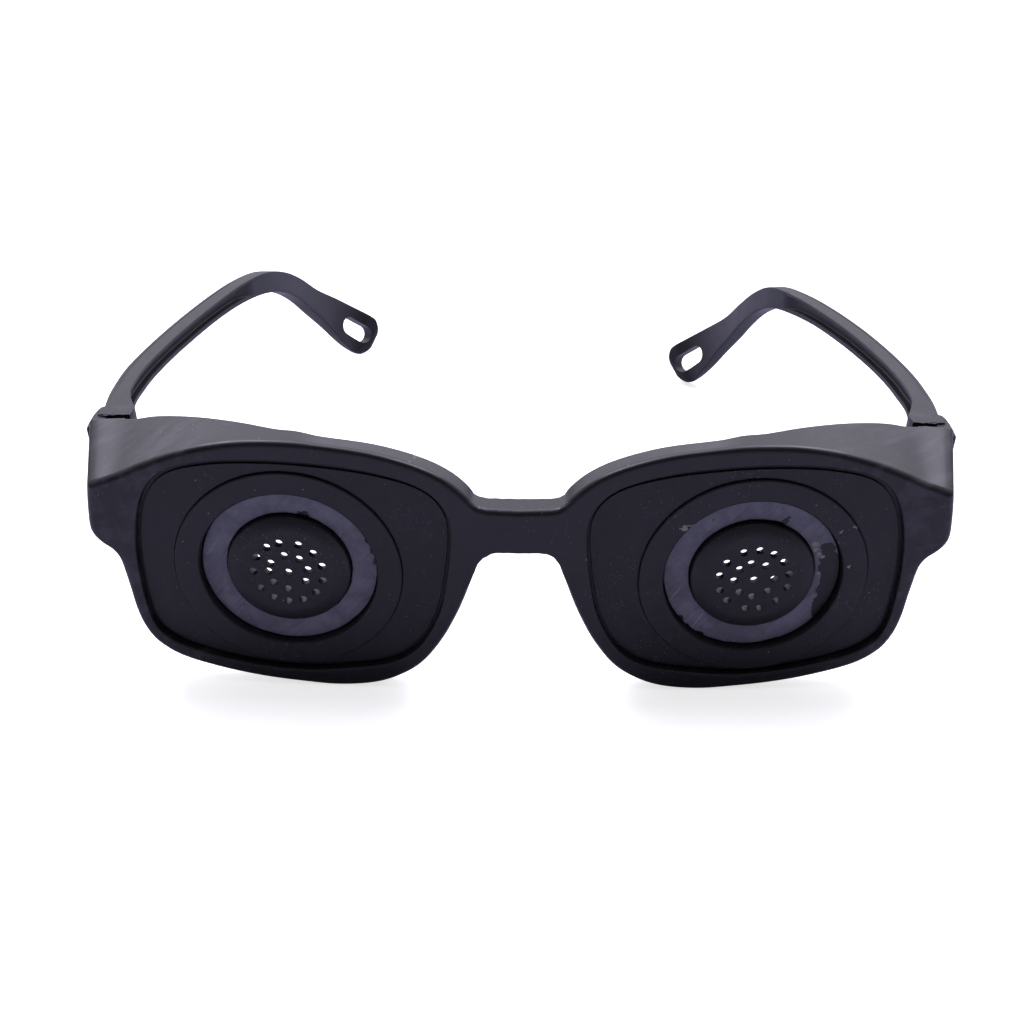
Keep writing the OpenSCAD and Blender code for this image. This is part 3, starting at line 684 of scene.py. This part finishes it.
def pin_steel(name):
    """Drawn steel with fine lines along the pin."""
    finish = bpy.context.scene.glasses_finish
    paint = Paint(name)
    lines = paint.noise(1.0, 3.0, 0.6, paint.stretched((9000, 9000, 200)))
    paint.put(Base_Color=paint.blend(lines, rgba(finish.steel, 0.8), rgba(finish.steel, 1.1)))
    paint.put(Roughness=0.32 + (lines - 0.5) * 0.2, Metallic=1.0)
    return paint.material


def rim_half():
    """Right rim, brow shelf and endpiece as one closed skin round the lens opening."""
    sizes = bpy.context.scene.glasses_front
    steps = 6
    control = np.array([row[0] for row in SHELF_ROWS] + [row[:2] for row in RIM_ROWS], float)
    front = catmull(control, steps, True)
    centre = np.array([-sizes.lens_shift, 0.0])
    angle = np.arctan2(control[:, 1] - centre[1], control[:, 0] - centre[0])
    seat = reach(lens_outline(sizes.lip_w), centre, angle)

    def behind(flat):
        return on_front(np.array([flat], float), sizes.rim_back)[0]

    outer_back = [back for _, back, _ in SHELF_ROWS]
    inner_back = [inner for _, _, inner in SHELF_ROWS]
    inner_root = []
    for (x, z), (_, seat_z) in zip(control[:len(SHELF_ROWS)], seat):
        beside_endpiece = (ROOT_X, seat_z * 0.4 + z * 0.6)
        under_shelf = (x * 0.985, z - 1.9)
        inner_root.append(behind(beside_endpiece if x > ROOT_X - 0.05 else under_shelf))
    for i, (x, z, drop) in enumerate(RIM_ROWS, len(SHELF_ROWS)):
        wall = control[i] - seat[i]
        outer_back.append(behind((x, z)) - (0, 0, drop))
        inner_back.append(behind(seat[i] + wall * 0.72) - (0, 0, drop))
        inner_root.append(behind(seat[i] + wall * 0.36) - (0, 0, drop / 2))
    outer_back = steady(outer_back, steps)
    inner_back = steady(inner_back, steps)
    inner_root = steady(inner_root, steps)
    angle = np.arctan2(front[:, 1] - centre[1], front[:, 0] - centre[0])
    opening = reach(lens_outline(), centre, angle)
    pocket = reach(lens_outline(sizes.lip_w), centre, angle)
    corners = np.stack([
        on_front(opening, -sizes.lip_depth), on_front(front, -sizes.lip_depth), outer_back, inner_back,
        inner_root, on_front(pocket, sizes.rim_back), on_front(pocket, 0.0), on_front(opening, 0.0)], 1)
    radii = [0.4, sizes.edge, 0.45, 0.35, 0.5, 0.25, 0.08, 0.1]
    return hoop("rim_right", in_frame(rounded(corners, radii, 5)))


def keyhole(direction, reach_out):
    """Knuckle outline: half a circle round the pin and a web that runs out from it."""
    r = bpy.context.scene.glasses_temple.knuckle
    points = []
    for degrees in range(0, 181, 15):
        a = math.radians(degrees)
        points.append((HINGE[0] + r * math.cos(a), HINGE[1] - direction * r * math.sin(a)))
    for edge, thirds in ((-r, (1, 2, 3)), (r, (3, 2, 1))):
        points += [(HINGE[0] + edge, HINGE[1] + direction * reach_out * k / 3) for k in thirds]
    return points


def bridge_bar():
    """Bridge between the rims, with fillets into them above and below."""
    sizes = bpy.context.scene.glasses_front
    wrap = math.radians(sizes.wrap)
    low_x = [0, 3.2, 4.8, 5.9, 6.8, 7.3, 8.0, 9.0]
    low_z = [sizes.bridge_low + d for d in (0, 0, -0.25, -0.9, -2.3, -3.8, -5.8, -8.0)]
    top_x = [0, 5.2, 6.6, 7.6, 8.4, 9.0]
    top_z = [sizes.bridge_top + d for d in (-0.1, 0, 0.3, 0.9, 1.8, 2.4)]
    rings = []
    for x in np.linspace(-9.0, 9.0, 75):
        nudge = 0.12 * field.noise(Vector((x * 0.9, 3.1, 0.0)))
        low = np.interp(abs(x), low_x, low_z) + 0.5 * nudge
        if x < 0:
            low -= 0.3 * math.exp(-((x + 5.6) / 0.9) ** 2)
        top = np.interp(abs(x), top_x, top_z) + 0.4 * nudge
        face = -PLATE_TO_FRONT + math.sin(wrap) * abs(x) - 0.015
        back = 1.4 + 0.1 * nudge
        rings.append([(x, face, low), (x, back, low), (x, back, top), (x, face, top)])
    return loft("bridge", in_frame(rounded(np.array(rings), [0.3, 0.5, 0.6, 1.25], 5)))


def torn_edge(start, end, out, sway, deep, thin, seed):
    """Moulding flash: a thin ragged sliver along a line, standing out by an uneven amount."""
    rng = random.Random(seed)
    start, end, out = (np.asarray(v, float) for v in (start, end, out))
    out = out / np.linalg.norm(out)
    side = np.cross(end - start, out)
    side = side / np.linalg.norm(side)
    count = 34
    rings = []
    for i in range(count + 1):
        s = i / count
        spot = start + (end - start) * s
        fade = min(1.0, 6 * s, 6 * (1 - s)) ** 0.5
        lift = fade * deep * (0.35 + 0.65 * abs(field.noise(Vector((s * 9.0, seed, 0.3))) * 1.8))
        lift += 0.12 * deep * fade * rng.random()
        drift = sway * field.noise(Vector((s * 7.0, seed * 1.7, 2.0)))
        t = thin * (0.6 + 0.4 * fade)
        tip = spot + out * lift + side * drift
        rings.append([spot - out * 0.25 - side * t, spot - out * 0.25 + side * t,
                      tip + side * t * 0.35, tip - side * t * 0.35])
    return loft("flash", in_frame(rounded(np.array(rings), 0.05, 2)))


def temple_frames(rows):
    """Middle, inward and upward direction at each station of a temple."""
    middle = rows[:, :3]
    ahead = np.empty_like(middle)
    ahead[1:-1] = middle[2:] - middle[:-2]
    ahead[0] = (0, 1, 0)
    ahead[-1] = middle[-1] - middle[-2]
    ahead /= np.linalg.norm(ahead, axis=1, keepdims=True)
    inward = np.cross((0, 0, 1.0), ahead)
    inward /= np.linalg.norm(inward, axis=1, keepdims=True)
    upward = np.cross(ahead, inward)
    twist = np.radians(rows[:, 5:6])
    turned_in = inward * np.cos(twist) + upward * np.sin(twist)
    turned_up = upward * np.cos(twist) - inward * np.sin(twist)
    return middle, ahead, turned_in, turned_up


def temple_shaft(side):
    """A shaft as the right one stands: grooved inside, creased outside, bent and flattened at the tip."""
    sizes = bpy.context.scene.glasses_temple
    steps = 8
    table = np.array(TEMPLE_ROWS, float)
    if side < 0:
        table[:, :3] += LEFT_BEND
    rows = catmull(table, steps, False)
    station = np.linspace(0, len(TEMPLE_ROWS) - 1, len(rows))
    middle, ahead, inward, upward = temple_frames(rows)
    length = np.append(0, np.cumsum(np.linalg.norm(np.diff(middle, axis=0), axis=1)))
    left_over = length[-1] - length

    def narrowing(over, least):
        near = np.clip(left_over / over, 0, 1)
        return least + (1 - least) * np.sqrt(np.clip(1 - (1 - near) ** 2, 0, 1))

    # Half the thickness and half the height, rounded off at the tip and a little slimmer at the root
    a = rows[:, 3] / 2 * narrowing(1.2, 0.35)
    b = rows[:, 4] / 2 * narrowing(3.0, 0.34)
    near_root = np.clip(length / 0.5, 0, 1)
    a = a * (0.95 + 0.05 * near_root)
    b = b * (0.97 + 0.03 * near_root)

    def ramp(low, high):
        return np.clip((station - low) / (high - low), 0, 1)

    open_in = np.sqrt(ramp(GROOVE_SPAN[0] - 0.28, GROOVE_SPAN[0] + 0.12))
    open_out = np.sqrt(1 - ramp(GROOVE_SPAN[1] - 0.2, GROOVE_SPAN[1] + 0.15))
    groove = sizes.groove_d * open_in * open_out
    top_lip, low_lip = sizes.groove_lip, sizes.groove_foot
    crease = 0.28 * ramp(1.3, 2.4) * (1 - ramp(6.6, 8.0))
    zero = np.zeros_like(a)
    flat = [(-a, -b), (a, -b), (a, -b + low_lip), (a - groove, -b + low_lip), (a - groove, b - top_lip),
            (a, b - top_lip), (a, b),
            (-a + np.minimum(1.05, a * 0.9), b), (-a + np.minimum(0.8, a * 0.7), b - crease),
            (-a + np.minimum(0.55, a * 0.5), b - 0.25 * crease), (-a, b - 0.15)]
    corners = np.stack([middle + inward * (t + zero)[:, None] + upward * (h + zero)[:, None]
                        for t, h in flat], 1)
    soft = np.clip(ramp(7, 11), 0, 1)
    # Radius of each corner, and how much it grows where the shaft turns into the flat tip
    edges = [(0.7, 0.6), (0.45, 0.8), (0.22, 0), (0.3, 0), (0.3, 0), (0.22, 0), (0.4, 0.8), (0.1, 0.2),
             (0.12, 0), (0.1, 0.2), (0.35, 0.9)]
    radii = np.stack([radius + growth * soft for radius, growth in edges], 1)
    shaft = loft("temple_right", in_frame(rounded(corners, radii, 3)))
    spot = EYELET_STATION * steps
    i = int(spot)
    return shaft, middle[i] + (middle[i + 1] - middle[i]) * (spot - i), ahead[i], inward[i], upward[i]


def cheek_body():
    """Cheek beside the knuckles, which swells out past the shaft's side towards its top."""
    rings = []
    for height, swell in CHEEK_ROWS:
        grown = CHEEK_OUT * swell
        side = [(71.95, 15.0), (73.1 + grown, 15.0), (73.5 + grown, 15.3), (73.6 + grown, 16.5),
                (73.55 + 0.95 * grown, 19.2), (73.3 + 0.4 * grown, 22.2), (71.95, 22.2), (71.95, 18.5)]
        side = catmull(side, 2, True)
        rings.append(in_frame(np.column_stack([side, np.full(len(side), height)])))
    return loft("cheek", rings)


def cut_eyelet(shaft, spot, ahead, inward, upward):
    """Cuts the cord slot through the flat tip and rounds its edges."""
    sizes = bpy.context.scene.glasses_temple
    radius = sizes.eyelet_w / 2
    half = (sizes.eyelet_l - sizes.eyelet_w) / 2
    slot = []
    for end in (1, -1):
        for degrees in range(-90, 91, 15):
            along = end * (half + radius * math.cos(math.radians(degrees)))
            slot.append(ahead * along + upward * end * radius * math.sin(math.radians(degrees)))
    slot = np.array(slot)
    cutter = loft("slot_cutter", [in_frame(spot + slot + inward * depth) for depth in (-4, -1.6, 1.6, 4)])
    apply(shaft, "BOOLEAN", "eyelet", operation="DIFFERENCE", object=cutter, solver="EXACT")
    bpy.data.objects.remove(cutter)
    here = Vector(in_frame(spot))

    def at_slot(edge):
        close = all((vert.co - here).length < 6.5 * MM for vert in edge.verts)
        return close and edge.calc_face_angle(0) > math.radians(40)

    bevel_where(shaft, at_slot, 0.4, 3)


def cup_body(side):
    """Turned cup with its pinholes, modelled round the middle of the hole pattern and then placed."""
    sizes = bpy.context.scene.glasses_cup
    face, deep, recess = -sizes.flange_t, sizes.floor, sizes.recess_d / 2
    hub, flange, wall = sizes.hub_r, sizes.flange_r, sizes.wall
    tube, bore, end = sizes.tube_r, sizes.tube_bore, sizes.tube_end
    # Corners of the turned section: radius, depth behind the plate's face, rounding
    path = [
        (7.6, face, 0), (8.25, face, 0.5), (9.1, face + 0.2, 0.3), (hub, -0.2, 0.25), (hub, deep, 0.1),
        (recess, deep, 0.1), (recess, face, 0.45), (flange, face, 0.35), (flange, 0, 0.05),
        (recess + wall, 0, 0.05), (recess + wall, deep + wall, 0.3), (tube, deep + wall, 0.2),
        (tube, end, 0.3), (bore, end, 0.25), (bore, 0.3, 0.15), (6.2, 0.3, 0)]
    steps = 3
    corners = [[(radius, depth, 0) for radius, depth, _ in path]]
    points = rounded(corners, [[edge for _, _, edge in path]], steps)[0, steps:-steps]
    turn = np.linspace(0, 2 * math.pi, 144, endpoint=False)
    flat = np.ones_like(turn)
    rings = [np.column_stack([np.cos(turn) * r, flat * y, np.sin(turn) * r]) * MM for r, y, _ in points]
    cup = loft("cup", rings)
    off_x, off_z = (0, -0.2) if side < 0 else (0.2, -0.35)
    holes = [(off_x, off_z)]
    for radius, turns in zip((sizes.outer_ring, sizes.inner_ring), PINHOLES["left" if side < 0 else "right"]):
        for degrees in turns:
            a = math.radians(degrees)
            holes.append((radius * math.cos(a) + off_x, radius * math.sin(a) + off_z))
    drills = []
    for x, z in holes:
        deselect()
        bpy.ops.mesh.primitive_cylinder_add(
            vertices=28, radius=sizes.hole_d / 2 * MM, depth=4 * MM,
            location=(x * MM, (face + 0.6) * MM, z * MM), rotation=(math.pi / 2, 0, 0))
        drills.append(bpy.context.object)
    drill = join(drills, "drill")
    apply(cup, "BOOLEAN", "pinholes", operation="DIFFERENCE", object=drill, solver="EXACT")
    bpy.data.objects.remove(drill)

    def at_hole(edge):
        middle = (edge.verts[0].co + edge.verts[1].co) / 2 / MM
        on_face = abs(middle.y - face) < 0.02 and math.hypot(middle.x, middle.z) < 7.2
        return on_face and edge.calc_face_angle(0) > math.radians(60)

    bevel_where(cup, at_hole, 0.1, 2)
    cup.data.transform(lens_matrix(side))
    shade(cup, 35)
    return cup


def magnet_body(side):
    """Ring magnet with a slightly uneven, chipped edge."""
    sizes = bpy.context.scene.glasses_cup
    turn = np.linspace(0, 2 * math.pi, 220, endpoint=False)
    ray = np.column_stack([np.cos(turn), np.sin(turn)])
    rough = np.array([field.fractal(Vector((x * 3, z * 3, side * 5.0)), 0.7, 2.1, 5) for x, z in ray])
    chip = np.array([max(0, field.noise(Vector((x * 5, z * 5, side * 9.0))) - 0.25) for x, z in ray])
    front, back = sizes.floor - sizes.magnet_t, sizes.floor
    inside = sizes.magnet_id / 2 + 0.06 + 0.06 * rough + 0.5 * chip
    outside = sizes.magnet_od / 2 + 0.04 - 0.07 * rough[::-1] - 0.45 * chip[::-1]
    corners = [(outside, front), (outside, back), (inside, back), (inside, front)]
    section = np.stack([np.stack([np.cos(turn) * r, np.full(len(turn), y), np.sin(turn) * r], 1)
                        for r, y in corners], 1)
    ring = hoop("magnet", rounded(section, [0.12, 0.05, 0.05, 0.12], 2) * MM)
    ring.data.transform(lens_matrix(side))
    shade(ring, 35)
    return ring


class GLASSES_OT_front(bpy.types.Operator):
    """Models the moulded front with its rims, bridge, brow shelves, endpieces, ears and moulding flash"""
    bl_idname = "glasses.front"
    bl_label = "Front"

    def execute(self, context):
        right = [rim_half()]
        for low in (HINGE_LOW, HINGE_LOW + STACK_H - EAR_T):
            right.append(slab("ear", keyhole(-1, 3.0), low, low + EAR_T))
        left = [mirrored(piece, "left_" + piece.name) for piece in right]
        flash = [torn_edge(*line) for line in FRONT_FLASH]
        front = join(right + left + flash + [bridge_bar()], "front_moulding")
        shade(front, 34)
        material = moulded_black("front_black", 0.33, 0.25, 1.0, rubbed=1.0)
        hand_over(front, material, "front", "front_plastic", "front_frame")
        return {"FINISHED"}


class GLASSES_OT_plates(bpy.types.Operator):
    """Models the flat plate in each rim, with the hole that takes the cup"""
    bl_idname = "glasses.plates"
    bl_label = "Eye plates"

    def execute(self, context):
        sizes, cup = context.scene.glasses_front, context.scene.glasses_cup
        material = moulded_black("plate_black", 0.46, 1.0, 0.7)
        turn = np.linspace(-math.pi, math.pi, 240, endpoint=False)
        hole_r = cup.recess_d / 2 + cup.wall + SEAT_PLAY
        for name, side in SIDES.items():
            centre = np.array(cup_shift(side))
            rim = reach(lens_outline(sizes.lip_w - 0.1), centre, turn)
            ray = np.column_stack([np.cos(turn), np.sin(turn)])
            hole, seat = centre + ray * hole_r, centre + ray * LAND_R
            land = reach(lens_outline(-LAND_GAP), centre, turn)
            land[:, 1] -= LAND_TOP_GAP * np.clip(land[:, 1] / LAND_TOP, 0, 1) ** 3
            away = np.linalg.norm(land - centre, axis=1, keepdims=True)
            land = centre + (land - centre) * np.maximum(1, (LAND_R + LAND_LEAST) / away)
            corners = np.stack([on_front(line, depth) for line, depth in (
                (rim, 0.0), (rim, sizes.plate_t), (hole, sizes.plate_t), (hole, 0.0), (seat, 0.0),
                (seat, -sizes.land_t), (land, -sizes.land_t), (land, 0.0))], 1)
            radii = [0.1, 0.1, 0.1, 0.1, 0.03, 0.07, 0.16, 0.03]
            plate = hoop(name + "_plate", in_frame(rounded(corners, radii, 2)))
            if side < 0:
                plate = left_hand(plate)
            shade(plate, 35)
            hand_over(plate, material, "front", "plate_plastic", name + "_eye_plate")
        return {"FINISHED"}


class GLASSES_OT_cups(bpy.types.Operator):
    """Models the two perforated cups"""
    bl_idname = "glasses.cups"
    bl_label = "Pinhole cups"

    def execute(self, context):
        material = moulded_black("cup_black", 0.44, 0.8, 0.7, glue=SMEARS)
        for name, side in SIDES.items():
            cup = cup_body(side)
            cup.name = name + "_cup"
            hand_over(cup, material, "front", "cup_plastic", name + "_pinhole_cup")
        return {"FINISHED"}


class GLASSES_OT_magnets(bpy.types.Operator):
    """Models the two grey ring magnets"""
    bl_idname = "glasses.magnets"
    bl_label = "Magnet rings"

    def execute(self, context):
        for name, side in SIDES.items():
            ring = magnet_body(side)
            ring.name = name + "_magnet"
            material = ring_ferrite(name + "_ferrite", side, BITES[name], SHARDS[name], CRUMBS[name])
            hand_over(ring, material, "front", "magnet", name + "_magnet_ring")
        return {"FINISHED"}


class GLASSES_OT_temples(bpy.types.Operator):
    """Models the two folding temples with their hinge tongues, grooves and eyelets"""
    bl_idname = "glasses.temples"
    bl_label = "Temples"

    def execute(self, context):
        material = moulded_black("temple_black", 0.42, 0.25, 0.6)
        for name, side in SIDES.items():
            shaft, *eyelet = temple_shaft(side)
            cut_eyelet(shaft, *eyelet)
            tongue = slab("tongue", keyhole(1, 3.2), TONGUE_LOW, TONGUE_LOW + TONGUE_T)
            cheek = cheek_body()
            torn = [torn_edge(*line, seed) for line, seed in zip(ARM_FLASH, ARM_SEEDS[name])]
            arm = join([shaft, tongue, cheek] + torn, name + "_arm")
            if side < 0:
                arm = left_hand(arm)
            shade(arm, 34)
            hand_over(arm, material, name + "_temple", "temple_plastic", name + "_temple")
        return {"FINISHED"}


class GLASSES_OT_pins(bpy.types.Operator):
    """Gives the two hinge pins their drawn steel"""
    bl_idname = "glasses.pins"
    bl_label = "Hinge pins"

    def execute(self, context):
        material = pin_steel("drawn_steel")
        for name in SIDES:
            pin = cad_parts[name + "_hinge_pin"]
            for slot in pin.material_slots:
                slot.material = material
        return {"FINISHED"}


class GLASSES_OT_stage(bpy.types.Operator):
    """Sets up the white floor, the soft light and the camera"""
    bl_idname = "glasses.stage"
    bl_label = "Stage"

    def execute(self, context):
        studio = context.scene.glasses_studio
        deselect()
        bpy.ops.mesh.primitive_plane_add(size=6, location=(0, 0, 0))
        floor = context.object
        floor.name = "floor"
        floor.data.materials.append(self.floor_paper())
        self.world_light()
        for name, spot, aim, size, power in LAMPS:
            self.panel(name, spot, aim, size, getattr(studio, power))
        self.camera(studio)
        return {"FINISHED"}

    def for_camera(self, tree, hidden, shown, output):
        """Shows one shader to the camera and the other to every other ray."""
        path = tree.nodes.new("ShaderNodeLightPath")
        see = tree.nodes.new("ShaderNodeMixShader")
        for i, source in enumerate((path.outputs["Is Camera Ray"], hidden, shown)):
            tree.links.new(source, see.inputs[i])
        tree.links.new(see.outputs[0], tree.nodes[output].inputs[0])

    def floor_paper(self):
        """White paper that glows for the camera only, so that it keeps the shadow and throws no light."""
        paint = Paint("floor_paper")
        tree = paint.tree
        seen = Wire(paint, tree.nodes.new("ShaderNodeLightPath").outputs["Is Camera Ray"])
        colour = paint.blend(seen, (0.49, 0.49, 0.6, 1), (0.9, 0.9, 0.9, 1))
        paint.put(Base_Color=colour, Roughness=1.0, Specular_IOR_Level=0.0)
        glow = tree.nodes.new("ShaderNodeEmission")
        glow.inputs["Strength"].default_value = 0.7
        lit = tree.nodes.new("ShaderNodeAddShader")
        tree.links.new(paint.shader.outputs[0], lit.inputs[0])
        tree.links.new(glow.outputs[0], lit.inputs[1])
        self.for_camera(tree, paint.shader.outputs[0], lit.outputs[0], "Material Output")
        return paint.material

    def world_light(self):
        """White to the camera; to the object a soft room that is darker behind the camera."""
        world = bpy.data.worlds.new("studio")
        bpy.context.scene.world = world
        world.use_nodes = True
        tree = world.node_tree
        room = tree.nodes["Background"]
        room.inputs["Color"].default_value = (0.96, 0.94, 1.0, 1)
        coords = tree.nodes.new("ShaderNodeTexCoord")
        parts = tree.nodes.new("ShaderNodeSeparateXYZ")
        span = tree.nodes.new("ShaderNodeMapRange")
        for key, value in (("From Min", -0.45), ("From Max", 0.6), ("To Min", 0.07), ("To Max", 0.68)):
            span.inputs[key].default_value = value
        tree.links.new(coords.outputs["Generated"], parts.inputs[0])
        tree.links.new(parts.outputs["Y"], span.inputs["Value"])
        tree.links.new(span.outputs[0], room.inputs["Strength"])
        white = tree.nodes.new("ShaderNodeBackground")
        white.inputs["Color"].default_value = (1, 1, 1, 1)
        self.for_camera(tree, room.outputs[0], white.outputs[0], "World Output")

    def panel(self, name, spot, aim, size, power):
        lamp = bpy.data.lights.new(name, "AREA")
        lamp.shape = "RECTANGLE"
        lamp.size, lamp.size_y = size
        lamp.energy = power
        lamp.color = LAMP_TINT
        obj = bpy.data.objects.new(name, lamp)
        bpy.context.scene.collection.objects.link(obj)
        obj.location = spot
        obj.rotation_euler = (Vector(aim) - Vector(spot)).to_track_quat("-Z", "Y").to_euler()
        obj.visible_camera = False

    def camera(self, studio):
        e, a, roll = (math.radians(v) for v in (studio.height, studio.turn, studio.roll))
        aim = Vector(in_frame((studio.aim_x, 0, studio.aim_z)))
        back = Vector((math.cos(e) * math.sin(a), -math.cos(e) * math.cos(a), math.sin(e)))
        right = Vector((math.cos(a), math.sin(a), 0))
        up = back.cross(right)
        tilted_right = right * math.cos(roll) + up * math.sin(roll)
        tilted_up = up * math.cos(roll) - right * math.sin(roll)
        data = bpy.data.cameras.new("camera")
        data.lens = studio.lens
        data.sensor_width = 36
        data.clip_start = 0.01
        eye = bpy.data.objects.new("camera", data)
        bpy.context.scene.collection.objects.link(eye)
        turn = Matrix((tilted_right, tilted_up, back)).transposed().to_4x4()
        eye.matrix_world = Matrix.Translation(aim + back * studio.distance * MM) @ turn
        bpy.context.scene.camera = eye


class GLASSES_PT_panel(bpy.types.Panel):
    """Lists the glasses' pieces"""
    bl_label = "Pinhole Glasses"
    bl_idname = "GLASSES_PT_panel"
    bl_space_type = "VIEW_3D"
    bl_region_type = "UI"
    bl_category = "Glasses"

    def draw(self, context):
        for operator in OPERATORS:
            self.layout.operator(operator.bl_idname)


GROUPS = {"glasses_front": FrontSizes, "glasses_cup": CupSizes, "glasses_temple": TempleSizes,
          "glasses_finish": Finish, "glasses_studio": Studio}
OPERATORS = [GLASSES_OT_stage, GLASSES_OT_front, GLASSES_OT_plates, GLASSES_OT_cups, GLASSES_OT_magnets,
             GLASSES_OT_temples, GLASSES_OT_pins]


def register():
    for group in list(GROUPS.values()) + OPERATORS + [GLASSES_PT_panel]:
        bpy.utils.register_class(group)
    for name, group in GROUPS.items():
        setattr(bpy.types.Scene, name, bpy.props.PointerProperty(type=group))


def unregister():
    for name in GROUPS:
        delattr(bpy.types.Scene, name)
    for group in [GLASSES_PT_panel] + OPERATORS + list(GROUPS.values()):
        bpy.utils.unregister_class(group)


def main():
    register()
    bpy.context.scene.view_settings.view_transform = "Standard"
    bpy.ops.glasses.stage()
    bpy.ops.glasses.front()
    bpy.ops.glasses.plates()
    bpy.ops.glasses.cups()
    bpy.ops.glasses.magnets()
    bpy.ops.glasses.temples()
    bpy.ops.glasses.pins()


if __name__ == "__main__":
    main()
